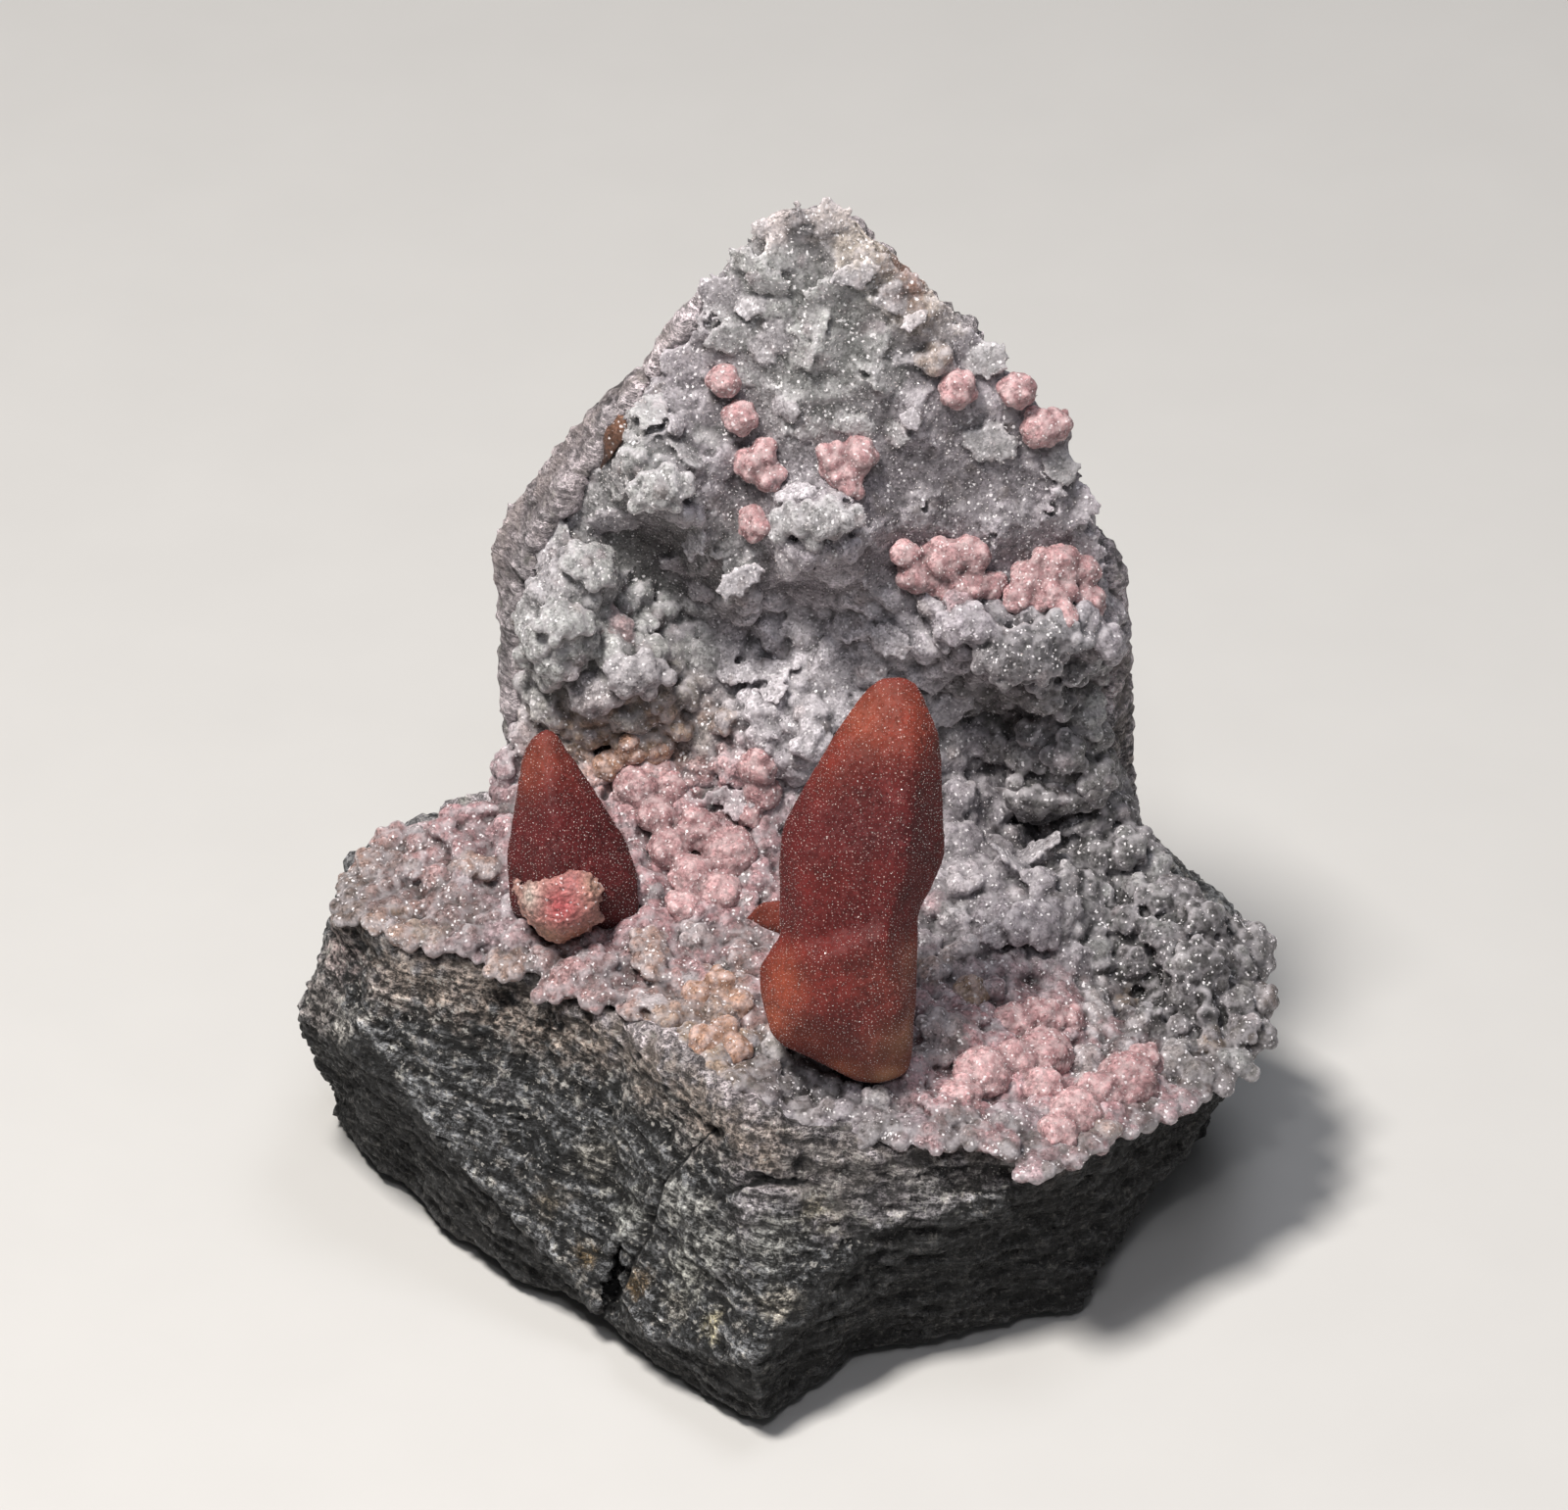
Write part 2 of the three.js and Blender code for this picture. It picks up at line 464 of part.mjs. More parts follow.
// Tall crystal: a steep blade on a second one grown into its foot, with a small wedge beside them
const TALL_FOOT = { up: 9.4, out: 22.5 };
const TALL_LEAN = 0.335;
const TALL_CRYSTAL = [
  // blade: its outline, then its front and its back
  [
    [6.5, 38.4, 0], [8.3, 38.7, -0.3], [9.6, 37.9, 0], [11, 34.9, 0.2], [11.4, 31.4, 0.2],
    [11.5, 25.8, 0], [10.9, 24.1, 0], [9.2, 21, 0], [5.6, 37.7, 0], [3.5, 34.6, 0], [1.1, 30.4, 0],
    [-0.4, 27.9, 0], [-0.6, 25.1, 0], [-0.5, 19.4, 0],
    [8, 36.6, 1.9], [9.2, 33, 3.1], [3.4, 31.2, 2.8], [8.6, 26, 4.4], [1.4, 25, 3.6], [7, 19, 4],
    [1.4, 18, 3.2],
    [7.6, 35, -2.2], [8.8, 27, -4.2], [2.6, 28, -3.8], [7, 19, -4], [2, 18, -3.6],
  ],
  // foot: its outline, its front, its back and its root in the crust
  [
    [9.2, 22, 0.2], [9.7, 20.6, 0.4], [9.2, 16, 0.4], [9.2, 12.5, 0], [9.1, 10.1, -0.2], [7, 9.3, 0],
    [5.4, 9.4, 0], [3.9, 10.4, 0.2], [1.4, 11.5, 0.4], [0, 12, 0.4], [-1.1, 12.9, 0.3],
    [-1.8, 15.3, 0.2], [-2.1, 17.8, 0.3], [-1.1, 19.3, 0.2],
    [2.2, 18.6, 5], [6.8, 20.4, 5.4], [8.3, 14, 3.9], [2.2, 14.4, 4.6], [6.6, 10.8, 2.6],
    [7.6, 19, -3.6], [1, 17, -3.4], [7, 11.5, -3.4], [2.5, 13, -3.4],
    [7, 12.4, -6.4], [2.2, 13.6, -6.6],
  ],
  // wedge
  [
    [-3.2, 21.6, -3.2], [-1.6, 22.8, -2.6], [1.2, 23, -1.4], [1.2, 19.2, -1.4], [-1.6, 20.2, -2.4],
    [-2.9, 20.8, -3], [1, 21, -4.6],
  ],
].map((corners) => leaning(TALL_FOOT, TALL_LEAN, corners));

// Short crystal: a bent wedge, broad at its foot. Its outline, then its front and its back.
const SHORT_FOOT = { up: 22, out: 13 };
const SHORT_LEAN = 0.3;
const SHORT_CRYSTAL = leaning(SHORT_FOOT, SHORT_LEAN, [
  [-17.6, 34.9, 0], [-16.5, 34.9, 0], [-15.8, 34.3, 0], [-14, 31.4, 0], [-11.2, 27.2, 0],
  [-10.2, 24.4, 0], [-10.1, 21.3, 0], [-11.2, 19.9, 0], [-18.8, 33.5, 0], [-19.3, 30.7, 0],
  [-20.1, 25.7, 0], [-19.8, 21, 0],
  [-16.9, 33.8, 1.4], [-16.6, 29, 3.4], [-17.3, 22, 4.6], [-12.6, 22.4, 3.4],
  [-16.6, 31, -2.6], [-17, 22, -3.6], [-12, 22.4, -3.2],
]);

// Broken stub: a crystal snapped off across its cleavage. Its outline, its broken top and its root.
const STUB = [
  [-19.2, 23.4, 15.6], [-18.3, 24.6, 15.8], [-16.5, 25.2, 16.2], [-14.5, 25.2, 16.4], [-13, 24.6, 16],
  [-12.3, 23.2, 15.8], [-12.6, 21.4, 15.6], [-14.2, 20, 15.4], [-16.1, 19, 15.6], [-17.3, 19.7, 15.6],
  [-19, 21.8, 15.6],
  [-17.8, 23.6, 18.6], [-15, 24, 19.4], [-13.6, 22.8, 18.8], [-14.4, 21, 18.6], [-16.4, 20.2, 18.2],
  [-18, 21.8, 18.2],
  [-16, 23.5, 11], [-14.4, 22, 11], [-17, 21, 11.4],
];

// Brown crystal at the wall's left edge, half buried in the crust
const EDGE_CRYSTAL = [
  [-11.3, 57.4, 0.4], [-10.7, 55.6, 0.9], [-12.6, 53.4, 0.6], [-13.7, 52.9, 0.2], [-12.9, 55.4, 1.2],
  [-12.2, 56.8, 0.8], [-11.9, 54.9, 1.8], [-12, 55.4, -1.6],
].map(([u, v, out]) => [u, v, swelling(u, v) + out]);

const CRYSTALS = {
  tall_rhodochrosite_crystal: (grow) => joined(TALL_CRYSTAL.map((corners) => crystal(corners, grow))),
  short_rhodochrosite_crystal: (grow) => crystal(SHORT_CRYSTAL, grow),
  broken_crystal_stub: (grow) => crystal(STUB, grow),
  brown_edge_crystal: (grow) => crystal(EDGE_CRYSTAL, grow),
};
const CRYSTAL_LOOKS = {
  tall_rhodochrosite_crystal: { color: 0x7e2b28, roughness: 0.45 },
  short_rhodochrosite_crystal: { color: 0x6e2624, roughness: 0.45 },
  broken_crystal_stub: { color: 0xb4675c, roughness: 0.7 },
  brown_edge_crystal: { color: 0x7d5d4b, roughness: 0.6 },
};

// Rhodochrosite balls
// Across, up and radius of each ball that has grown together with the others in its list.

const BALLS = {
  pink_ball_upper_left: [[-4.2, 59.3, 1.3]],
  pink_ball_mid_left: [[-3.1, 56.7, 1.35]],
  pink_pair_left: [[-2.4, 53.5, 1.3], [-1, 52.6, 1.4], [-1.5, 54.2, 1]],
  pink_ball_lower_left: [[-2.1, 49.2, 1.4]],
  pink_ball_upper_right: [[12.2, 58.6, 1.5]],
  pink_ball_right_edge: [[16.5, 58.6, 1.4]],
  pink_block_right_edge: [[18.2, 56, 1.6], [19.2, 56.2, 1.3]],
  pink_branch_middle: [[3.6, 53.8, 1.3], [5.3, 54.1, 1.4], [4.3, 52.4, 1.4], [4.6, 51.6, 1.1]],
  pink_cluster_ledge_left: [
    [9.6, 45.8, 1.7], [11.5, 46.8, 1.9], [13.3, 47.2, 1.6], [11.3, 45, 1.6], [13, 44.8, 1.8],
    [14.7, 44.9, 1.4], [8.6, 47.2, 1.2],
  ],
  pink_cluster_ledge_right: [
    [17.4, 45.3, 1.6], [19.5, 46.4, 1.9], [21.2, 45.8, 1.5], [16.5, 43.9, 1.3], [19.2, 44, 1.8],
    [21.5, 43.6, 1.6], [20, 42.5, 1.2],
  ],
  pink_mass_behind_short_crystal: [
    [-10.6, 30.4, 1.9], [-9.2, 28.4, 1.8], [-8.2, 30.4, 1.5], [-8.2, 26, 1.8], [-6.6, 24, 1.8],
    [-6.2, 27.4, 1.8], [-3.9, 25.7, 2], [-4.6, 22.8, 1.8], [-7.2, 21.8, 1.4],
  ],
  pink_knob_centre: [[-1.9, 32, 1.6], [-1.6, 30, 1.5], [-2.4, 28.6, 1.2]],
  pink_mass_floor_right: [
    [17.9, 16.4, 1.8], [18.4, 13.8, 1.9], [16.4, 13.6, 1.7], [18.6, 11.4, 2], [14, 10, 2.1],
    [16.3, 10.9, 1.9], [18.4, 9.2, 1.7], [12.4, 8.3, 1.8], [20.2, 13.6, 1.4],
  ],
  pink_mass_front_right: [
    [24.4, 9.4, 2.3], [22.2, 8.6, 1.9], [25.6, 10.8, 1.6], [20.6, 7.2, 2], [19.3, 6, 1.7],
    [24, 12.4, 1.5],
  ],
  tan_ball_by_tall_crystal: [[13.2, 15.6, 1.5]],
  orange_knob_by_tall_crystal: [[-4.6, 16.2, 1.5], [-6.1, 15.6, 1.3], [-3.2, 15, 1.2]],
  orange_knob_front: [[-5.6, 12.2, 1.6], [-4.2, 13, 1.3], [-3.4, 11.8, 1.2]],
  orange_knob_behind_short_crystal: [[-10.9, 33.4, 1.6], [-9.2, 33.2, 1.3], [-12.6, 32, 1.2]],
};
const BALL_COLOURS = { pink: 0xc69a9c, tan: 0xb08b80, orange: 0xb98572 };
const BALL_RISE = 0.9;
const BALL_FLAT = 0.92;

// Each crystal is kept with its seat: its body grown by the gap, to be cut from what it stands in.

const placed = [];

function place(name, looks, make, around) {
  const body = largest(cutBy(make(0), [...placed.map((other) => other.seat), ...around]));
  placed.push({ name, looks, body, seat: make(GAP) });
}

for (const [name, make] of Object.entries(CRYSTALS)) place(name, CRYSTAL_LOOKS[name], make, []);

// Crust: what lies between its front and its bed within the outline, with its overhanging knobs
const bedFront = inFrontOf(bedding, BED_CELL, 0);
const overhanging = KNOBS.filter(([, , radius]) => radius >= OVERHANGING);
const reliefFront = inFrontOf(relief, CRUST_CELL, 0.3);
const slab = outlinePrism(0).subtract(reliefFront);
const knobbed = joined([slab, ...overhanging.map((knob) => ball(knob, KNOB_RISE, KNOB_FLAT))]);
const crustBody = knobbed.intersect(outlinePrism(0)).intersect(bedFront);
const crust = largest(cutBy(crustBody, placed.map((piece) => piece.seat)));

// Balls: what stands out of the crust, clear of it and of the pieces before them
const crustSeat = joined([
  outlinePrism(GAP).subtract(reliefFront).translate([0, 0, SLOPE_GAP]),
  ...overhanging.map((knob) => ball(knob, KNOB_RISE, KNOB_FLAT, GAP)),
]);
for (const [name, list] of Object.entries(BALLS)) {
  const looks = { color: BALL_COLOURS[name.split("_")[0]], roughness: 0.75 };
  const make = (grow) => joined(list.map((each) => ball(each, BALL_RISE, BALL_FLAT, grow)));
  place(name, looks, make, [crustSeat]);
}

// Rock: foot and wall in one, cut back to the crust's bed
const hollowCut = outlinePrism(GAP).intersect(bedFront.translate([0, 0, -GAP])).transform(FACING.elements);
const cuts = ROCK_CUTS.map((points) => solid(new ConvexGeometry(points.map((p) => new THREE.Vector3(...p)))));
const rock = largest(cutBy(footBody().add(wallBody()), [hollowCut, ...cuts]));

// Specimen

function addPiece(parent, name, looks, body) {
  const material = new THREE.MeshStandardMaterial({ ...looks, metalness: 0, flatShading: true });
  const mesh = new THREE.Mesh(geometryOf(body), material);
  mesh.name = name;
  parent.add(mesh);
}

const specimen = new THREE.Group();
addPiece(specimen, "host_rock", { color: 0x4b4c4d, roughness: 0.9 }, rock);

const hollow = new THREE.Group();
hollow.applyMatrix4(FACING);
specimen.add(hollow);
addPiece(hollow, "quartz_crust", { color: 0x8f9290, roughness: 0.6 }, crust);
for (const { name, looks, body } of placed) addPiece(hollow, name, looks, body);

export default specimen;
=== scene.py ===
import math
import random

import bmesh
import bpy
import numpy as np
from mathutils import Matrix, Vector, noise
from mathutils.bvhtree import BVHTree
from mathutils.kdtree import KDTree


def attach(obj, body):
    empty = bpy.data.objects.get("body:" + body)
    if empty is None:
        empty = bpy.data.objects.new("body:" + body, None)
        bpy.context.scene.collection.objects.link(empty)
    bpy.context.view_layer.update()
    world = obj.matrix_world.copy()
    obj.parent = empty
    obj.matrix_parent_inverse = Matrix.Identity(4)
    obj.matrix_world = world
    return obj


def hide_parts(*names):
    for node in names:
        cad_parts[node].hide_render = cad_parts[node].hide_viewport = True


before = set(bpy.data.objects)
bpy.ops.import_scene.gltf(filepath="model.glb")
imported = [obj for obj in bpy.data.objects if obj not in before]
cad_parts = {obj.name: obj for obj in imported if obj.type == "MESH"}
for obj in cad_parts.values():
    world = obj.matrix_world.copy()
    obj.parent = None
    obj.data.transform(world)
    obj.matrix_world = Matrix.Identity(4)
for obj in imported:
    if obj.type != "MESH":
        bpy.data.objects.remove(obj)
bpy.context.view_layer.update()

# Table, camera and light
# A plain pale table top under soft studio light. The camera looks down at the open hollow from the
# front, from as far away as a long macro lens does, and the main light stands above it to the left.

EYE = Vector((0, -648.8, 494.3))
LOOKS_DOWN = math.radians(35)
FOCAL_PIXELS = 11428.6
FRAME_PIXELS = (1600, 1541)
SENSOR = 36


def linear(colour):
    """The linear colour, with alpha, of an sRGB hex value."""
    parts = [int(colour[i : i + 2], 16) / 255 for i in (0, 2, 4)]
    return tuple(c / 12.92 if c <= 0.04045 else ((c + 0.055) / 1.055) ** 2.4 for c in parts) + (1.0,)


def add(tree, kind, inputs=(), out=0, **settings):
    """One output of a new node with its settings. Its inputs, listed in the node's order or by name,
    each get a value or the output that feeds them."""
    made = tree.nodes.new("ShaderNode" + kind)
    for name, value in settings.items():
        setattr(made, name, value)
    for name, value in inputs.items() if isinstance(inputs, dict) else enumerate(inputs):
        socket = made.inputs[name]
        if isinstance(value, bpy.types.NodeSocket):
            tree.links.new(value, socket)
        else:
            socket.default_value = value
    return made.outputs[out]


def material(name):
    """A new material, its node tree and its surface shader."""
    made = bpy.data.materials.new(name)
    made.use_nodes = True
    return made, made.node_tree, made.node_tree.nodes["Principled BSDF"]


scene = bpy.context.scene
scene.view_settings.view_transform = "Standard"
lens = bpy.data.cameras.new("camera")
lens.sensor_width = SENSOR
lens.lens = FOCAL_PIXELS / FRAME_PIXELS[0] * SENSOR
lens.clip_start = 0.05
lens.clip_end = 10
camera = bpy.data.objects.new("camera", lens)
camera.location = EYE / 1000
camera.rotation_euler = (math.pi / 2 - LOOKS_DOWN, 0, 0)
scene.collection.objects.link(camera)
scene.camera = camera

table, tree, surface = material("painted_table_top")
where = add(tree, "TexCoord", out="Object")
grain = add(tree, "TexNoise", {"Vector": where, "Scale": 90.0, "Detail": 4.0})
shade = add(tree, "Mix", {0: grain, 6: linear("c9c8c6"), 7: linear("cecdcb")}, 2, data_type="RGBA")
tree.links.new(shade, surface.inputs["Base Color"])
surface.inputs["Roughness"].default_value = 0.6
bm = bmesh.new()
bmesh.ops.create_grid(bm, x_segments=1, y_segments=1, size=2.5)
sheet = bpy.data.meshes.new("table_top")
bm.to_mesh(sheet)
bm.free()
sheet.materials.append(table)
floor = bpy.data.objects.new("table_top", sheet)
scene.collection.objects.link(floor)

LAMPS = {
    "key_softbox": ((-0.15, -0.12, 0.54), 0.11, 3.9, "fffaf4"),
    "top_softbox": ((0.10, 0.10, 0.55), 0.20, 0.5, "f4f7ff"),
    "front_softbox": ((0.02, -0.36, 0.56), 0.18, 0.55, "f8f8ff"),
    "fill_softbox": ((0.38, -0.40, 0.25), 0.35, 0.10, "f6f8ff"),
    "spark_lamp": ((-0.05, -0.50, 0.62), 0.03, 0.3, "ffffff"),
}
for name, (place, size, watts, colour) in LAMPS.items():
    lamp = bpy.data.lights.new(name, "AREA")
    lamp.size = size
    lamp.energy = watts
    lamp.color = linear(colour)[:3]
    stand = bpy.data.objects.new(name, lamp)
    stand.location = place
    stand.rotation_euler = (Vector((0, 0, 0.03)) - Vector(place)).to_track_quat("-Z", "Y").to_euler()
    scene.collection.objects.link(stand)
world = bpy.data.worlds.new("studio")
world.use_nodes = True
world.node_tree.nodes["Background"].inputs[0].default_value = linear("dfe3e8")
world.node_tree.nodes["Background"].inputs[1].default_value = 0.055
scene.world = world

# Host rock
# Dark, fine-grained foliated rock, broken all round. Its bedding lies level and shows as splintery
# ledges. Pale grains and mica flash in it, the palest grains painted as glints; iron has stained it
# along the crack, and the crack and the underside are darkened with painted shade.

ROCK_VOXEL = 0.36
BED_DIP = math.radians(9)
MOST_FACES = 196000
# Pixels from a line that count as nowhere near it, and how close in mm two skins hide each other
FAR_OFF = 99.0
HIDDEN_BY = 0.45


def solid(node):
    """A copy of a CAD solid in millimetres, its loose triangles merged."""
    made = bmesh.new()
    made.from_mesh(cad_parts[node].data)
    bmesh.ops.remove_doubles(made, verts=made.verts, dist=1e-6)
    bmesh.ops.scale(made, vec=(1000, 1000, 1000), verts=made.verts)
    return made


def arrays(mesh):
    """A mesh's points, normals and edges."""
    points = np.empty(len(mesh.vertices) * 3)
    mesh.vertices.foreach_get("co", points)
    normals = np.empty(len(mesh.vertices) * 3)
    mesh.vertices.foreach_get("normal", normals)
    edges = np.empty(len(mesh.edges) * 2, int)
    mesh.edges.foreach_get("vertices", edges)
    return points.reshape(-1, 3), normals.reshape(-1, 3), edges.reshape(-1, 2)


def faired(values, edges, rounds):
    """Values at the points after that many rounds of moving halfway to their neighbours' mean."""
    values = values.reshape(len(values), -1).copy()
    count = len(values)
    degree = np.bincount(edges.ravel(), minlength=count)[:, None]
    for _ in range(rounds):
        total = np.empty_like(values)
        for k in range(values.shape[1]):
            column = values[:, k]
            total[:, k] = np.bincount(edges[:, 0], column[edges[:, 1]], count)
            total[:, k] += np.bincount(edges[:, 1], column[edges[:, 0]], count)
        values = (values + total / np.maximum(degree, 1)) / 2
    return values


def moved(mesh, points):
    """The mesh with its points at new places."""
    mesh.vertices.foreach_set("co", points.ravel())
    mesh.update()
    return mesh


def after(mesh, kind, weights=None, **settings):
    """The mesh as one of Blender's modifiers leaves it."""
    holder = bpy.data.objects.new("work", mesh)
    scene.collection.objects.link(holder)
    if weights is not None:
        group = holder.vertex_groups.new(name="weights")
        for level in np.unique(weights):
            group.add(np.flatnonzero(weights == level).tolist(), float(level), "REPLACE")
        settings["vertex_group"] = "weights"
    step = holder.modifiers.new("step", kind)
    for key, value in settings.items():
        setattr(step, key, value)
    finished = holder.evaluated_get(bpy.context.evaluated_depsgraph_get())
    made = bpy.data.meshes.new_from_object(finished)
    bpy.data.objects.remove(holder)
    return made


def whole(mesh):
    """The mesh's largest body, without the crumbs that lie loose beside it or inside it."""
    made = bmesh.new()
    made.from_mesh(mesh)
    left, largest = set(made.verts), set()
    while left:
        island = {left.pop()}
        front = list(island)
        while front:
            here = front.pop()
            near = {edge.other_vert(here) for edge in here.link_edges} & left
            left -= near
            island |= near
            front.extend(near)
        largest = max(island, largest, key=len)
    crumbs = [point for point in made.verts if point not in largest]
    bmesh.ops.delete(made, geom=crumbs, context="VERTS")
    return mesh_of(made)


def fused(mesh, voxel):
    """Everything in the mesh as one closed skin of even small faces, its steps faired away."""
    made = whole(after(mesh, "REMESH", mode="VOXEL", voxel_size=voxel, adaptivity=0))
    points, _, edges = arrays(made)
    return moved(made, faired(points, edges, 2))


def mesh_of(made, name="work"):
    """A bmesh as a mesh; the bmesh is used up."""
    mesh = bpy.data.meshes.new(name)
    made.to_mesh(mesh)
    made.free()
    return mesh


def tree_of(mesh):
    """The mesh as a tree for rays and nearest points."""
    made = bmesh.new()
    made.from_mesh(mesh)
    found = BVHTree.FromBMesh(made)
    made.free()
    return found


def attribute(mesh, name, values):
    """Keeps a number or a linear colour for each point of the mesh."""
    kind, key = ("FLOAT", "value") if values.ndim == 1 else ("FLOAT_COLOR", "color")
    if values.ndim == 2:
        values = np.hstack([values, np.ones((len(values), 1))])
    mesh.attributes.new(name, kind, "POINT").data.foreach_set(key, values.ravel())


def triangles(mesh):
    """How many triangles the mesh has."""
    return sum(len(face.vertices) - 2 for face in mesh.polygons)


def thinned(mesh, hidden):
    """The mesh under MOST_FACES triangles, thinned first where it is hidden."""
    share = MOST_FACES / triangles(mesh)
    if share < 1:
        mesh = after(mesh, "DECIMATE", hidden.astype(float), ratio=share, vertex_group_factor=100)
    share = MOST_FACES / triangles(mesh)
    return after(mesh, "DECIMATE", ratio=share) if share < 1 else mesh


def piece(name, mesh, nodes, finish, smooth=True):
    """Adds a finished piece of the specimen, from millimetres to metres, for its CAD solids."""
    mesh.name = name
    mesh.transform(Matrix.Scale(0.001, 4))
    mesh.materials.clear()
    mesh.materials.append(finish)
    mesh.shade_smooth() if smooth else mesh.shade_flat()
    made = bpy.data.objects.new(name, mesh)
    scene.collection.objects.link(made)
    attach(made, "root")
    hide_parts(*nodes)


RIGHT = Vector((1, 0, 0))
UP = Vector((0, math.sin(LOOKS_DOWN), math.cos(LOOKS_DOWN)))
AWAY = Vector((0, math.cos(LOOKS_DOWN), -math.sin(LOOKS_DOWN)))


def seen(surfaces, x, y):
    """The point and normal, on the nearest of some surfaces, that show at a place in the view."""
    across = (x - FRAME_PIXELS[0] / 2) / FOCAL_PIXELS
    up = (FRAME_PIXELS[1] / 2 - y) / FOCAL_PIXELS
    ray = (AWAY + RIGHT * across + UP * up).normalized()
    hits = [hit for hit in (s.ray_cast(EYE, ray) for s in surfaces) if hit[0]]
    if not hits:
        return None, None
    place, normal, _, _ = min(hits, key=lambda hit: hit[3])
    return place, normal


solids = {name: tree_of(mesh_of(solid(name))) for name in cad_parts}

# Colours of the rock's face by soft spots in the view: middle, reach in mm, colour. Most are its own
# colours and iron stains; the light greys around the crack and the pale spot on the brow are painted
# highlights
ROCK_STAINS_AND_HIGHLIGHTS = [
    (650, 1310, 1.3, "6f5a3c"), (600, 1280, 1.1, "6a5a42"), (727, 1352, 1.0, "b5ad92"),
    (560, 1225, 1.4, "585044"), (800, 1330, 1.6, "8a857c"), (690, 1330, 1.4, "77736c"),
    (840, 1225, 2.0, "7d7766"), (437, 955, 2.6, "b4a5a1"), (400, 1000, 2.6, "857b76"),
    (470, 1010, 2.8, "7f7570"), (540, 1035, 2.8, "78706b"), (600, 1060, 2.8, "776f6a"),
    (660, 1098, 2.8, "706964"), (715, 1145, 2.8, "7a7472"), (780, 1192, 3.0, "868083"),
    (860, 1198, 3.0, "7b7777"), (940, 1190, 3.0, "727070"), (345, 955, 3.6, "978887"),
    (325, 1020, 3.0, "77716f"), (350, 1050, 1.6, "8d8a86"), (690, 1230, 2.2, "858582"),
    (610, 1180, 2.0, "6f6c66"), (725, 1270, 2.2, "8b8b88"), (640, 1240, 1.8, "7a7b78"),
    (700, 1300, 2.2, "84847e"), (790, 1270, 2.2, "7d7d7a"),
]
# The open crack down the front face, by its course in the view; its inside is painted near-black as painted
# shade
CRACK = [
    (605, 1353), (615, 1343), (634, 1311), (644, 1286), (660, 1260), (673, 1207), (703, 1174), (730, 1150),
]
# The ledge in the front face, from a second line, and the brow under which the rock falls back,
# with painted shade below it and a painted highlight along its crest
LEDGE = [(733, 1216), (778, 1203), (829, 1206)]
BROW = [
    (302, 1034), (328, 1056), (376, 1053), (407, 1097), (433, 1139), (459, 1180), (503, 1225), (535, 1250),
    (567, 1289), (586, 1311), (621, 1346), (660, 1356), (707, 1369), (752, 1385), (771, 1382), (790, 1356),
    (816, 1311), (848, 1283), (886, 1260), (928, 1241), (988, 1230), (1010, 1235), (1029, 1216),
    (1048, 1193), (1092, 1190), (1147, 1155), (1188, 1133), (1226, 1117), (1293, 1082),
]
RIM_GREY = "b2a8ac"
LAYER_DARK = "141617"
LAYER_PALE = "5a5b5d"
# Where loose grains of the rock lie banked up against the crust: a line in the view, the spread in
# pixels, the grains' size in mm and their colour
BANKS = [
    ([(350, 922), (400, 990), (440, 1003), (520, 1028), (560, 1048), (640, 1068), (700, 1118), (750, 1158),
     (800, 1186)], 12, 0.4, "857970"),
    ([(345, 910), (400, 980), (440, 992), (520, 1017), (560, 1037), (640, 1057), (700, 1107), (750, 1147),
     (800, 1176), (880, 1181), (960, 1171), (1040, 1180), (1092, 1196)], 4, 0.62, "7b716b"),
    ([(800, 1186), (880, 1190), (960, 1180), (1040, 1188)], 9, 0.36, "777372"),
    ([(612, 460), (591, 487), (577, 510), (556, 535), (545, 573), (537, 595), (532, 625), (526, 655)], 3,
     0.55, "968c8f"),
    ([(493, 590), (520, 530), (555, 480), (600, 430), (640, 388), (700, 322), (747, 262)], 8, 0.36,
     "a89c9c"),
    ([(752, 256), (775, 225), (797, 206), (862, 214), (905, 262), (980, 330), (1056, 415)], 6, 0.34,
     "b3a7a6"),
    ([(1128, 640), (1128, 700), (1130, 740), (1133, 780)], 4, 0.7, "857b76"),
    ([(1146, 640), (1150, 700), (1150, 760), (1160, 800)], 5, 0.4, "978c88"),
]


def stain(points, tints, surfaces, spots, broken=None):
    """Tints, each blended towards the colour of the soft spots around it; broken breaks them up."""
    for x, y, reach, colour in spots:
        place, _ = seen(surfaces, x, y)
        if place is None:
            continue
        share = np.exp(-((points - np.array(place)) ** 2).sum(1) / reach**2)
        if broken is not None:
            share = np.clip(share * 1.6 + broken * 0.9 - 0.45, 0, 0.85)
        tints = tints + share[:, None] * (np.array(linear(colour)[:3]) - tints)
    return tints


def in_view(points):
    """Where points show in the view, across and down in pixels."""
    away = points - np.array(EYE)
    depth = away @ np.array(AWAY) / FOCAL_PIXELS
    across = FRAME_PIXELS[0] / 2 + away[:, 0] / depth
    return across, FRAME_PIXELS[1] / 2 - away @ np.array(UP) / depth


def turned(normals):
    """How far normals turn from the viewer: 1 is right away, -1 is straight towards."""
    return normals @ np.array(AWAY)


def from_line(points, line):
    """How far points lie from a line in the view, in pixels, with a sign for its two sides."""
    x, y = in_view(points)
    nearest = np.full(len(x), FAR_OFF)
    for (x0, y0), (x1, y1) in zip(line, line[1:]):
        along, down = x1 - x0, y1 - y0
        part = ((x - x0) * along + (y - y0) * down) / (along**2 + down**2)
        aside = x - x0 - np.clip(part, 0, 1) * along
        below = y - y0 - np.clip(part, 0, 1) * down
        off = np.hypot(aside, below) * np.sign(aside * down - below * along)
        past = ((x0, y0) == line[0]) & (part < 0) | ((x1, y1) == line[-1]) & (part > 1)
        nearest = np.where(~past & (np.abs(off) < np.abs(nearest)), off, nearest)
    return nearest


def rough(points, size, octaves=3, seed=0):
    """Fractal noise at the points, for swells of a size in millimetres."""
    offset = Vector((seed * 17.3, seed * 5.1, seed * 9.7))
    return np.array([noise.fractal(Vector(p) + offset, 0.8, 2.1, octaves) for p in points / size])


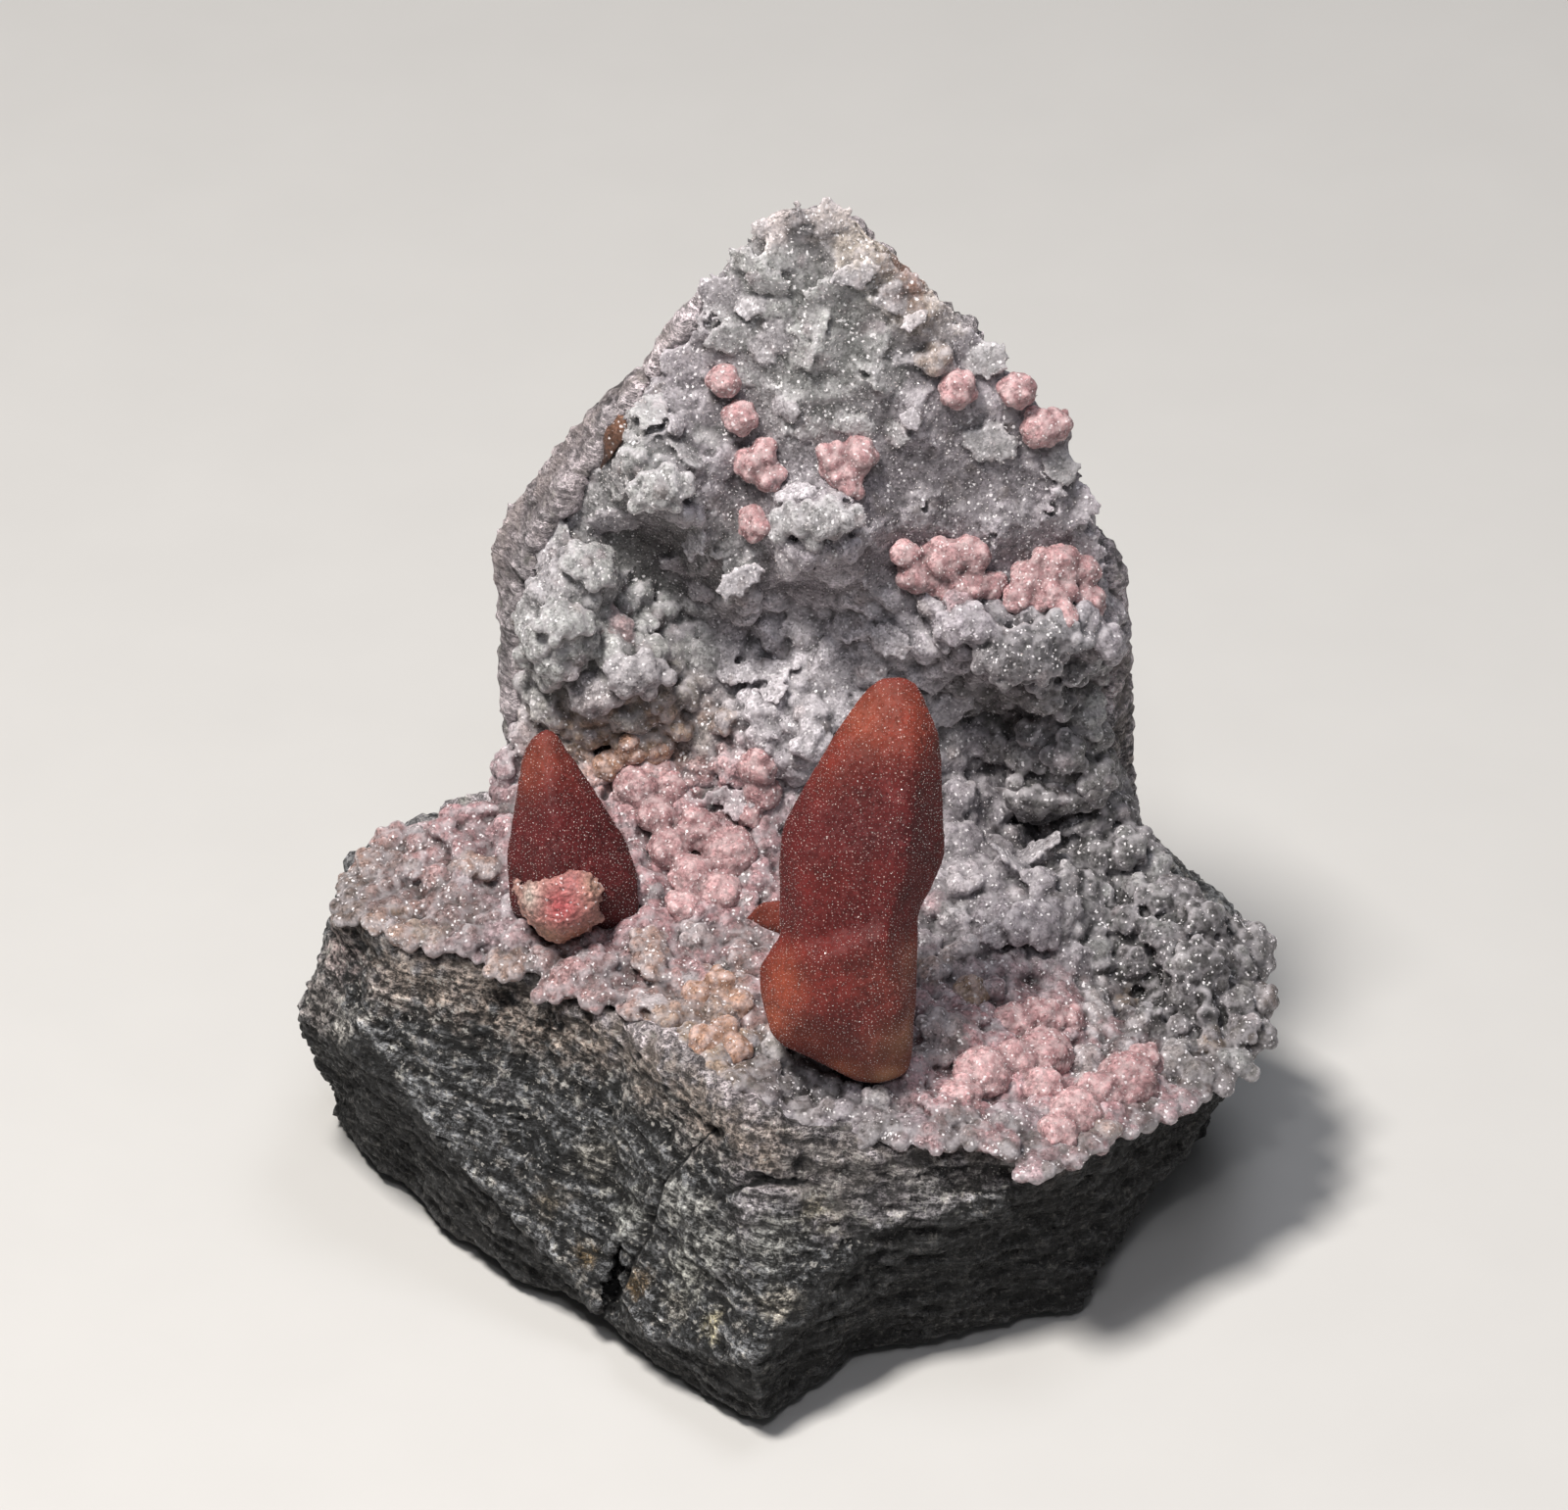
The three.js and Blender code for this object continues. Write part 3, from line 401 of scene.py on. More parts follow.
def chipped(points, size, seed=0):
    """Distance to the nearest of scattered centres: shallow scoops that meet in sharp ridges."""
    offset = Vector((seed * 7.7, seed * 3.1, seed * 1.9))
    return np.array([noise.voronoi(Vector(p) + offset)[0][0] for p in points / size])


def bedded(points, stretch):
    """Places turned to the foliation and drawn out along it, for a pattern in thin leaves."""
    turn = np.array(Matrix.Rotation(-BED_DIP, 3, "Y"))
    return points @ turn.T * np.array([1, 1, stretch])


def to_crust(points):
    """How far points lie from the crust, up to 3 mm."""
    return np.array([solids["quartz_crust"].find_nearest(Vector(p), 3)[3] or 3 for p in points])


def strewn(shape, places, turns, sizes):
    """One mesh of copies of a small shape, each with a place, a 3x3 turn and a size of its own."""
    points, _, _ = arrays(shape)
    faces = np.array([list(face.vertices) for face in shape.polygons])
    copies = np.einsum("kij,nj->kni", turns, points) * sizes[:, None, None] + places[:, None]
    corners = faces[None] + np.arange(len(places))[:, None, None] * len(points)
    made = bpy.data.meshes.new("work")
    made.from_pydata(copies.reshape(-1, 3), [], corners.reshape(-1, faces.shape[1]))
    return made


def together(*meshes):
    """Several meshes as one."""
    made = bmesh.new()
    for mesh in meshes:
        made.from_mesh(mesh)
    return mesh_of(made)


# How loosely the grains lie along a line, and how deep they sink and how far they stain the rock,
# both as shares of their size
LOOSENESS = 70
GRAIN_SINKS = 0.35
GRAIN_STAINS = 2.5
ball = bmesh.new()
bmesh.ops.create_icosphere(ball, subdivisions=2, radius=1)
ball = mesh_of(ball)
grains, grain_sizes, bank_spots = [], [], []
chance = random.Random(2)
for line, spread, coarse, colour in BANKS:
    for (x0, y0), (x1, y1) in zip(line, line[1:]):
        steps = max(1, int(math.hypot(x1 - x0, y1 - y0) * spread / (coarse * LOOSENESS)))
        for k in range(steps):
            x = x0 + (x1 - x0) * k / steps + chance.gauss(0, spread)
            y = y0 + (y1 - y0) * k / steps + chance.gauss(0, spread)
            place, normal = seen([solids["host_rock"]], x, y)
            if place is not None:
                grain = coarse * chance.uniform(0.5, 1.5)
                grains.append(tuple(place - normal * grain * GRAIN_SINKS))
                grain_sizes.append(grain)
                bank_spots.append((np.array(place), coarse * GRAIN_STAINS, colour))
turns = np.random.default_rng(4).normal(0, 0.28, (len(grains), 3, 3)) + np.eye(3)
loose = strewn(ball, np.array(grains), turns, np.array(grain_sizes))
mesh = fused(together(mesh_of(solid("host_rock")), loose), ROCK_VOXEL)

# Relief of the broken face: how far apart each kind of form comes, in mm, and how high it stands
LEDGES, LEDGE_HEIGHT = 7.0, 0.42
LEAVES, LEAF_HEIGHT = 2.4, 0.38
BEDS, TREAD_HEIGHT = 1.9, 0.25
SCOOPS, SCOOP_DEPTH = 6.5, 0.9
CRUMBS, CRUMB_HEIGHT = 1.1, 0.24
BANK_REACH, BANK_HEIGHT = 2.4, 0.9
CRACK_WIDE, CRACK_DEEP = 3.5, 0.5
# The height from which the rock's rim is worn, over what height that comes in, and below which
# height its faces are darkened with painted shade
RIM_FROM, RIM_FADE = 24, 12
PAINTED_SHADE_BELOW = 30
points, normals, edges = arrays(mesh)
crust_near = to_crust(points)
steep = 1 - 0.6 * np.abs(faired(normals, edges, 12)[:, 2])
ledges = rough(bedded(points, 5), LEDGES, 4)
leaves = rough(bedded(points, 5), LEAVES, 3, seed=1)
bed_depth = bedded(points, 1)[:, 2] / BEDS + 0.8 * rough(points, LEDGES, 3, seed=15)
treads = (bed_depth % 1) * np.clip(0.4 + rough(points, 5.0, 2, seed=16), 0, 1)
scoops = 0.45 - chipped(points, SCOOPS, seed=3)
crumbs = rough(points, CRUMBS, 3, seed=2)
calm = 1 - 0.6 * np.clip((points[:, 2] - RIM_FROM) / 6, 0, 1)
bank = np.clip(0.8 + 0.8 * rough(points, 1.8, 2, seed=17), 0.3, 1.3)
bank *= np.clip(1 - crust_near / BANK_REACH, 0, 1)
layered = LEDGE_HEIGHT * ledges + LEAF_HEIGHT * leaves + TREAD_HEIGHT * treads
lift = BANK_HEIGHT * bank + steep * calm * layered
lift = lift - SCOOP_DEPTH * calm * scoops + CRUMB_HEIGHT * crumbs
lift *= np.clip(points[:, 2] / 1.2, 0, 1)
grown = points + normals * lift[:, None]
grown[:, 2] = np.maximum(grown[:, 2], 0.02)
mesh = thinned(moved(mesh, grown), crust_near < HIDDEN_BY)
points, normals, edges = arrays(mesh)
broad_normals = faired(normals, edges, 25)
hollows = ((points - faired(points, edges, 8)) * normals).sum(1) / 0.12
# The bedding's tone, with painted shade in small hollows and a painted highlight on small bumps
layers = 0.42 + 0.6 * rough(bedded(points, 3), 6.0, 4, seed=4) + 0.35 * hollows
layers = np.clip(layers, 0, 1)[:, None]
tints = np.array(linear(LAYER_DARK)[:3]) * (1 - layers) + np.array(linear(LAYER_PALE)[:3]) * layers
height = points[:, 2] + 7 * rough(points, 9.0, 4, seed=18) + 0.25 * (34 - points[:, 1]) - 3
high = np.clip((height - RIM_FROM) / RIM_FADE, 0, 1)
rim = high * np.clip(0.7 + 0.6 * rough(points, 4.0, 3, seed=5), 0, 1)
tints = tints + rim[:, None] * (np.array(linear(RIM_GREY)[:3]) * (0.5 + 0.8 * layers) - tints)
broken = rough(points, 0.9, 3, seed=6)
tints = stain(points, tints, [solids["host_rock"]], ROCK_STAINS_AND_HIGHLIGHTS, broken)
for place, reach, colour in bank_spots[::2]:
    share = np.exp(-((points - place) ** 2).sum(1) / reach**2) * np.clip(0.4 + broken, 0, 0.7)
    tints = tints + share[:, None] * (np.array(linear(colour)[:3]) - tints)
# Painted shade: faces low on the rock and turned downwards are darkened, less so on its far side
low = np.clip((PAINTED_SHADE_BELOW - height) / RIM_FADE, 0, 1)
front = np.clip(1 - 1.5 * np.clip(turned(broad_normals), 0, 1), 0.35, 1)
painted_shade = 0.75 * low * front * np.clip((0.30 - broad_normals[:, 2]) / 0.4, 0, 1)
towards = turned(broad_normals) < 0.25
# The crack and the ledge's slot are cut in a little and painted near-black as painted shade
gap = from_line(points, CRACK)
gap = np.where(np.abs(gap) < 40, gap, FAR_OFF)
slot = from_line(points, LEDGE) * 0.5
gap = np.where(np.abs(slot) < np.abs(gap), slot, gap)
gap = np.where(towards, gap, FAR_OFF)
mesh = moved(mesh, points - normals * CRACK_DEEP * np.exp(-((gap / CRACK_WIDE) ** 2))[:, None])
# Painted shade below the brow's line in the view, and a painted highlight just above it
across, down = in_view(points)
below = down - np.interp(across, *np.array(BROW).T)
under = np.clip(below / 12 + 0.4 * broken, 0, 1) * towards
crest = np.exp(-(((below + 7) / 7) ** 2)) * towards * np.clip(0.5 + broken, 0, 1)
painted_shade = np.maximum(painted_shade, 0.8 * under)
tints *= (1 + 1.2 * crest)[:, None]
attribute(mesh, "painted_shade", painted_shade)
sandy = np.clip(1.3 - to_crust(points) / 1.6, 0, 1) * np.clip(0.7 + 0.9 * broken, 0, 1)
weathered = high * np.clip(0.75 + 0.5 * broken, 0, 1)
attribute(mesh, "weathered", np.maximum(sandy, weathered))
attribute(mesh, "crack", np.clip(gap, -FAR_OFF, FAR_OFF))
attribute(mesh, "tint", tints)
attribute(mesh, "relief", hollows)

# Broken foliated rock: fine pale grains and flakes of mica in a dark ground, drawn out along the
# foliation, which makes the break look like splinters of salt and pepper and lets flakes flash; the
# palest grains are painted near-white as glints.
# The sizes are in mm; the real flakes are finer than this, which would not show in the view.
SPLINTERS = 1.3
GRIT = 0.42
MICA = 0.27


def leaning(tree, cells, lean):
    """A normal that leans its own way over each cell of a pattern, as small broken faces do."""
    tilt = add(tree, "VectorMath", [cells, (0.5, 0.5, 0.5)], operation="SUBTRACT")
    tilted = add(tree, "VectorMath", {0: tilt, 3: lean}, operation="SCALE")
    leaned = add(tree, "VectorMath", [add(tree, "NewGeometry", out="Normal"), tilted], operation="ADD")
    return add(tree, "VectorMath", [leaned], operation="NORMALIZE")


# The numbers of a MapRange are the range that its value has and the range that it gives
rock_finish, tree, surface = material("foliated_rock_broken")
where = add(tree, "TexCoord", out="Object")
drawn_out = [where, (0, 0, 0), (0, BED_DIP, 0), (1.5, 1, 0.24)]
leafed = add(tree, "Mapping", drawn_out, vector_type="TEXTURE")
tint = add(tree, "Attribute", out="Color", attribute_name="tint")
relief = add(tree, "Attribute", out="Fac", attribute_name="relief")
shreds = {"Vector": leafed, "Scale": 1000 / SPLINTERS, "Detail": 6.0, "Roughness": 0.72}
splinters = add(tree, "TexNoise", shreds)
crumbs = add(tree, "TexNoise", {"Vector": where, "Scale": 1000 / GRIT, "Detail": 3.0, "Roughness": 0.8})
uneven = add(tree, "Math", [splinters, crumbs], operation="ADD")
flakes = add(tree, "TexVoronoi", {"Vector": where, "Scale": 1000 / MICA}, "Color")
flake = add(tree, "SeparateColor", [flakes]).node.outputs
pepper = add(tree, "MapRange", [flake[0], 0, 1, 0.55, 1.55])
patchy = add(tree, "MapRange", [uneven, 0.9, 1.2, 0.12, 2.8])
strength = add(tree, "Math", [pepper, patchy], operation="MULTIPLY")
# Painted shade in small hollows and a painted highlight on small crests, from the relief
crest = add(tree, "MapRange", [relief, -1.0, 1.2, 0.3, 1.9])
contrast = add(tree, "Math", [strength, crest], operation="MULTIPLY")
shaded = add(tree, "VectorMath", {0: tint, 3: contrast}, operation="SCALE")
# Pale grains, the brightest cells painted near-white as glints
bright = add(tree, "Math", [flake[2], patchy], operation="MULTIPLY")
pale_grain = add(tree, "MapRange", [bright, 1.4, 1.7, 0, 0.8])
grained = add(tree, "Mix", {0: pale_grain, 6: shaded, 7: linear("c8c5c0")}, 2, data_type="RGBA")
off_crack = add(tree, "Attribute", out="Fac", attribute_name="crack")
off_crack = add(tree, "Math", [off_crack], operation="ABSOLUTE")
shut = add(tree, "MapRange", [off_crack, 0.7, 2.2])
weather = add(tree, "Attribute", out="Fac", attribute_name="weathered")
skin = add(tree, "MapRange", [weather, 0, 1, 0, 0.78])
worn = add(tree, "Mix", {0: skin, 6: grained, 7: tint}, 2, data_type="RGBA")
# The painted shade darkens the colour
painted_shade = add(tree, "Attribute", out="Fac", attribute_name="painted_shade")
left = add(tree, "Math", [1.0, painted_shade], operation="SUBTRACT")
dimmed = add(tree, "VectorMath", {0: worn, 3: left}, operation="SCALE")
# Painted shade: near-black along the crack and the ledge's slot
opened = add(tree, "Mix", {0: shut, 6: linear("060607"), 7: dimmed}, 2, data_type="RGBA")
tree.links.new(opened, surface.inputs["Base Color"])
gloss = add(tree, "MapRange", [flake[1], 0.8, 0.85, 0.75, 0.3])
tree.links.new(gloss, surface.inputs["Roughness"])
surface.inputs["IOR"].default_value = 1.55
face = leaning(tree, flakes, 0.7)
grit = add(tree, "Bump", {"Height": uneven, "Distance": 0.0009, "Strength": 0.9, "Normal": face})
tree.links.new(grit, surface.inputs["Normal"])
piece("host_rock_body", mesh, ["host_rock"], rock_finish)

# Quartz crust
# One crust of drusy quartz over the floor and wall of the hollow. It grew as rounded lumps and thin
# scalloped plates, each a carpet of beads: flat and sparkling on the wall, knobbly in the alcoves.

CRUST_VOXEL = 0.17
PIXEL = 0.0713
# Heights in the view, in mm: the front edge of the floor, the corner of the hollow, where the wall
# turns flat and the tops of its alcoves
FLOOR_EDGE = 22
CORNER = 30.5
FLAT_FROM = 43
ALCOVE_TOPS = 44
# On the flat wall and in the alcoves or on the floor: how far apart in mm loose lumps and lobes lie
LUMP_GAPS = (3.6, 1.8)
LOBE_GAPS = (0.5, 1.05)
# On plates and on domes: the lobes' size as a share of their lump's, then in mm where they lie loose
LOBES = {True: (0.25, 0.5), False: (0.5, 0.82)}
LOOSE_LOBES = {True: (0.25, 0.5), False: (0.5, 0.9)}
# How deep a plate's core is rooted, and how much of its lump's width a core takes up
ROOT = 0.4
PLATE_CORE, DOME_CORE = 0.9, 0.88
GOLDEN_ANGLE = 2.39996
# Crust tints; k and d, the dark ones, serve partly as painted shade where they lie in the alcoves
CRUST_TINTS = {
    "g": "a7a8a7",
    "l": "a29ba2",
    "w": "c3bec4",
    "k": "7d7b7a",
    "t": "9c8672",
    "p": "b58c90",
    "c": "b0a294",
    "d": "5f5b5e",
}
# Lumps and plates by their place in the view: middle, half width, half height, turn, rise in mm, tint;
# in the right alcove the dark tint k stands partly for painted shade
LUMPS = [
    (798, 256, 21, 19, 0, 0.5, "g"), (764, 266, 20, 13, -20, 0.5, "g"), (786, 288, 22, 12, 0, 0.5, "g"),
    (766, 315, 14, 10, 20, 0.8, "w"), (794, 312, 13, 12, 0, 0.5, "g"), (826, 330, 22, 14, 10, 0.25, "g"),
    (852, 300, 30, 18, 0, 0.45, "g"), (873, 278, 24, 13, 15, 0.7, "w"), (905, 300, 14, 10, 20, 0.6, "w"),
    (796, 341, 17, 17, 0, 0.5, "l"), (778, 361, 15, 7, -30, 0.5, "w"), (745, 346, 22, 16, 0, 0.35, "g"),
    (664, 419, 18, 20, 0, 0.5, "g"), (688, 434, 21, 8, 35, 0.7, "w"), (721, 440, 16, 12, 0, 0.5, "g"),
    (832, 437, 23, 11, 0, 0.5, "g"), (871, 433, 17, 12, 0, 0.6, "g"), (905, 385, 18, 17, 0, 0.4, "g"),
    (893, 350, 14, 20, 0, 0.4, "g"), (934, 426, 12, 11, 0, 0.9, "w"), (919, 444, 14, 11, 0, 0.8, "g"),
    (953, 366, 19, 14, 0, 0.9, "t"), (926, 366, 13, 3, 6, 0.6, "w"), (1009, 367, 22, 16, 30, 0.6, "g"),
    (1011, 451, 24, 20, 0, 0.7, "g"), (1081, 477, 20, 14, -20, 0.7, "g"), (1079, 502, 11, 4, -15, 0.7, "w"),
    (1046, 505, 3, 20, -10, 0.4, "w"), (932, 328, 14, 8, 30, 0.7, "w"), (912, 312, 12, 8, 20, 0.6, "w"),
    (1100, 515, 22, 20, 0, 0.4, "l"), (735, 300, 24, 20, 0, 0.35, "l"), (700, 372, 24, 20, 0, 0.4, "l"),
    (760, 385, 12, 9, 0, 0.4, "g"), (838, 395, 20, 14, 0, 0.35, "g"), (806, 418, 16, 10, 0, 0.35, "l"),
    (655, 466, 20, 17, 0, 1.1, "g"), (850, 352, 20, 15, 0, 0.25, "g"), (818, 362, 18, 12, 20, 0.25, "g"),
    (675, 499, 33, 21, 20, 1.3, "g"), (702, 520, 22, 14, 30, 1.2, "l"), (721, 552, 23, 12, 35, 1.2, "w"),
    (752, 588, 28, 13, 30, 1.3, "w"), (773, 569, 20, 14, 0, 0.6, "g"), (700, 468, 20, 15, 0, 0.7, "g"),
    (740, 470, 16, 12, 0, 0.5, "l"), (837, 530, 47, 20, 8, 1.5, "g"), (838, 560, 38, 15, 0, 1.1, "l"),
    (812, 505, 20, 10, 0, 0.8, "w"), (601, 580, 28, 25, 0, 1.3, "g"), (648, 604, 15, 14, 0, 1.0, "g"),
    (628, 528, 23, 15, 0, 0.8, "l"), (673, 623, 17, 15, 0, 0.9, "g"), (716, 601, 14, 13, 0, 0.8, "l"),
    (575, 636, 31, 22, 0, 1.2, "g"), (625, 641, 20, 16, 0, 0.9, "p"), (716, 668, 23, 18, 0, 1.0, "g"),
    (697, 711, 18, 14, 0, 1.0, "k"), (648, 686, 32, 22, 0, 1.3, "l"), (607, 708, 28, 22, 0, 1.2, "l"),
    (556, 716, 18, 20, 0, 1.0, "g"), (644, 731, 20, 14, 0, 0.9, "g"), (562, 545, 24, 20, 0, 0.7, "g"),
    (538, 588, 16, 22, 0, 0.6, "l"), (690, 572, 14, 12, 0, 0.8, "l"), (690, 650, 14, 12, 0, 0.8, "l"),
    (540, 665, 15, 20, 0, 0.8, "g"), (745, 640, 16, 14, 0, 0.6, "l"), (775, 690, 40, 12, -5, 1.1, "w"),
    (793, 711, 15, 11, 0, 0.9, "w"), (847, 696, 28, 18, 0, 0.5, "w"), (911, 652, 24, 15, -30, 1.1, "w"),
    (820, 640, 22, 16, 0, 0.4, "w"), (870, 640, 20, 14, 0, 0.4, "w"), (835, 610, 26, 12, 0, 0.3, "l"),
    (950, 690, 17, 13, 0, 0.9, "w"), (961, 722, 16, 18, 0, 0.9, "w"), (977, 716, 20, 11, 45, 0.9, "w"),
    (993, 752, 19, 17, 0, 1.1, "l"), (972, 770, 16, 16, 0, 1.0, "l"), (980, 811, 16, 12, 0, 1.0, "l"),
    (1015, 827, 22, 19, 0, 1.2, "l"), (978, 860, 27, 21, 0, 1.2, "l"), (1030, 858, 22, 19, 0, 1.1, "l"),
    (975, 612, 15, 12, 0, 0.9, "p"), (985, 638, 29, 19, 0, 1.3, "l"), (1052, 627, 12, 10, 0, 0.9, "l"),
    (1077, 640, 25, 16, 10, 1.3, "g"), (1097, 651, 16, 10, 0, 1.0, "g"), (1039, 670, 45, 30, 0, 1.5, "k"),
    (1033, 702, 14, 11, 0, 1.0, "k"), (1092, 683, 18, 14, 0, 1.2, "k"), (1065, 708, 21, 16, 0, 1.3, "k"),
    (1097, 707, 11, 10, 0, 1.0, "k"), (1097, 729, 13, 12, 0, 1.0, "k"), (1113, 667, 11, 20, 0, 0.9, "g"),
    (1113, 720, 12, 28, 0, 0.9, "g"), (1127, 757, 13, 18, 30, 0.9, "g"), (1052, 748, 13, 12, 0, 0.9, "k"),
    (1049, 772, 24, 19, 0, 1.1, "k"), (1087, 768, 20, 20, 0, 1.1, "k"), (1052, 811, 28, 21, 0, 1.3, "k"),
    (1087, 815, 13, 11, 0, 0.9, "k"), (1119, 797, 18, 24, 0, 1.0, "k"), (1010, 705, 14, 12, 0, 0.5, "k"),
    (1015, 740, 14, 12, 0, 0.5, "k"), (1057, 884, 42, 15, -6, 1.3, "w"), (1030, 894, 34, 12, 0, 1.3, "w"),
    (1111, 845, 24, 16, 0, 1.1, "k"), (1121, 875, 20, 17, 0, 1.1, "g"), (1148, 867, 24, 17, 10, 1.4, "g"),
    (1178, 886, 17, 14, 0, 1.0, "g"), (1160, 840, 14, 16, 0, 0.7, "l"), (1200, 912, 24, 18, 0, 0.9, "l"),
    (1225, 941, 22, 20, 0, 1.2, "g"), (1191, 960, 21, 16, 0, 1.2, "g"), (1173, 947, 11, 11, 0, 1.1, "g"),
    (1222, 987, 30, 24, 0, 1.4, "k"), (1210, 1010, 23, 17, 0, 1.2, "k"), (1161, 981, 20, 15, 0, 1.1, "k"),
    (1152, 940, 13, 18, 0, 1.1, "g"), (1262, 1024, 16, 16, 0, 1.0, "k"), (1268, 1054, 18, 15, 0, 1.0, "k"),
    (1228, 1035, 12, 11, 0, 1.0, "k"), (1260, 985, 18, 20, 0, 0.9, "g"), (1283, 951, 14, 13, 0, 1.1, "p"),
    (1289, 979, 12, 12, 0, 1.0, "p"), (1298, 1009, 11, 11, 0, 1.0, "t"), (1256, 902, 9, 16, 0, 0.9, "p"),
    (1234, 1064, 11, 16, 0, 0.8, "t"), (1121, 950, 14, 40, 0, 1.1, "g"), (1088, 925, 16, 14, 0, 0.8, "l"),
    (1056, 942, 34, 25, 0, 0.8, "l"), (1013, 951, 17, 13, 0, 0.9, "w"), (972, 938, 16, 15, 0, 1.1, "g"),
    (952, 926, 14, 12, 0, 1.0, "p"), (981, 903, 16, 10, 0, 0.9, "g"), (983, 972, 21, 8, 20, 1.0, "t"),
    (951, 993, 15, 13, 0, 1.0, "t"), (1090, 980, 20, 20, 0, 0.7, "l"), (1140, 1013, 9, 9, 0, 1.2, "t"),
    (1146, 1033, 12, 11, 0, 1.2, "t"), (1115, 1036, 17, 38, 5, 1.2, "g"), (1108, 1085, 14, 22, 0, 1.1, "g"),
    (1105, 1106, 9, 9, 0, 0.9, "g"), (1170, 1048, 25, 12, 45, 1.2, "g"),
    (1198, 1084, 14, 30, -35, 1.1, "g"), (1218, 1098, 20, 13, -20, 0.9, "g"),
    (1262, 1085, 20, 10, -25, 0.8, "g"), (961, 1052, 27, 19, 0, 0.9, "g"),
    (947, 1085, 25, 12, 20, 1.1, "g"), (1015, 1055, 14, 12, 0, 0.7, "l"), (1035, 1146, 30, 19, 0, 0.8, "l"),
    (970, 1137, 29, 20, 0, 1.2, "p"), (1087, 1052, 18, 19, 0, 0.9, "p"),
    (1122, 1153, 20, 12, -25, 0.8, "c"), (894, 1122, 14, 9, 0, 1.0, "g"), (921, 1150, 30, 14, 10, 0.6, "l"),
    (855, 1135, 24, 12, 0, 0.6, "l"), (653, 757, 26, 19, 0, 1.2, "t"), (606, 747, 22, 14, 0, 0.8, "t"),
    (691, 745, 11, 10, 0, 0.9, "t"), (715, 755, 22, 18, 0, 0.9, "g"), (744, 739, 15, 12, 0, 1.1, "t"),
    (668, 789, 20, 9, 0, 1.0, "p"), (773, 791, 20, 19, 0, 1.1, "p"), (812, 775, 20, 22, 0, 1.0, "l"),
    (759, 825, 18, 15, 0, 1.2, "w"), (735, 809, 14, 10, 0, 1.0, "w"), (709, 960, 17, 13, 0, 1.1, "g"),
    (662, 973, 18, 28, 0, 1.0, "t"), (591, 997, 40, 24, 20, 1.1, "p"), (520, 985, 28, 15, 10, 0.5, "t"),
    (715, 1003, 22, 19, 0, 1.1, "p"), (735, 1033, 18, 13, 0, 1.0, "t"), (759, 1009, 14, 13, 0, 0.9, "p"),
    (703, 1064, 20, 14, 0, 1.3, "t"), (729, 1074, 15, 12, 0, 1.1, "t"), (757, 1066, 14, 12, 0, 0.9, "t"),
    (703, 1103, 13, 11, 0, 1.0, "g"), (789, 1072, 16, 18, 0, 1.0, "g"), (662, 1028, 15, 9, 0, 0.8, "w"),
    (682, 853, 8, 8, 0, 0.7, "c"), (665, 865, 6, 5, 0, 0.6, "w"), (413, 889, 28, 17, 0, 0.8, "p"),
    (486, 886, 26, 13, 0, 0.8, "t"), (474, 900, 8, 6, 0, 0.7, "w"), (437, 952, 26, 16, 0, 0.5, "c"),
    (366, 925, 24, 24, 0, 0.4, "d"), (400, 930, 20, 12, 0, 0.4, "t"), (520, 935, 22, 14, 0, 0.7, "l"),
    (640, 1040, 20, 10, 20, 0.5, "t"), (745, 1120, 22, 12, 30, 0.7, "l"), (560, 830, 14, 10, 0, 0.6, "g"),
    (800, 1110, 20, 12, 20, 0.7, "g"), (845, 930, 10, 8, 0, 0.5, "l"), (735, 900, 18, 10, 0, 0.7, "p"),
    (655, 905, 22, 18, 0, 0.8, "p"), (600, 830, 14, 18, 0, 0.7, "p"), (640, 830, 18, 24, 0, 0.6, "p"),
    (765, 870, 14, 16, 0, 0.7, "g"),
]
# Soft regions of colour under the lumps: middle, reach in mm, tint. The dark tints k and d, mostly in
# the alcoves, stand partly for painted shade, and the pale w in the recess below the wall's middle
# partly for painted light
REGIONS = [
    (830, 350, 5.5, "g"), (700, 400, 5, "l"), (950, 480, 5, "l"), (1080, 560, 5, "l"), (1000, 400, 5, "l"),
    (830, 225, 2.5, "d"), (800, 222, 1.3, "w"), (880, 245, 1.6, "c"), (850, 222, 1.4, "w"),
    (925, 280, 2.2, "c"), (945, 305, 2, "t"), (975, 332, 1.6, "w"), (620, 600, 6, "g"), (690, 560, 3, "d"),
    (840, 605, 3.5, "w"), (820, 655, 4, "w"), (860, 700, 4, "w"), (960, 500, 2.5, "d"),
    (1010, 740, 3.5, "k"), (1060, 850, 3, "d"), (1070, 780, 5, "k"), (980, 820, 4, "l"),
    (1210, 990, 5, "k"), (1190, 1030, 3, "d"), (1120, 950, 3, "g"), (1050, 940, 3.5, "l"),
    (1060, 1060, 5, "p"), (970, 1130, 4, "p"), (1240, 900, 3, "p"), (1180, 820, 3, "p"), (660, 860, 5, "p"),
    (700, 930, 4.5, "p"), (600, 990, 4, "p"), (430, 900, 5, "p"), (500, 960, 4, "l"), (360, 915, 4, "t"),
    (400, 940, 4, "t"), (470, 975, 3, "t"), (350, 890, 3, "d"), (700, 1050, 4, "t"), (640, 750, 3.5, "t"),
    (870, 1130, 4, "l"), (760, 1000, 3, "p"), (1140, 720, 1.8, "t"), (560, 570, 3, "l"), (640, 440, 3, "g"),
    (560, 1000, 3, "t"), (1150, 1080, 3, "p"), (860, 500, 3, "l"), (640, 900, 5, "p"), (720, 980, 4, "p"),
    (1080, 1110, 4, "p"), (1010, 1100, 4, "p"), (520, 960, 4, "p"),
]
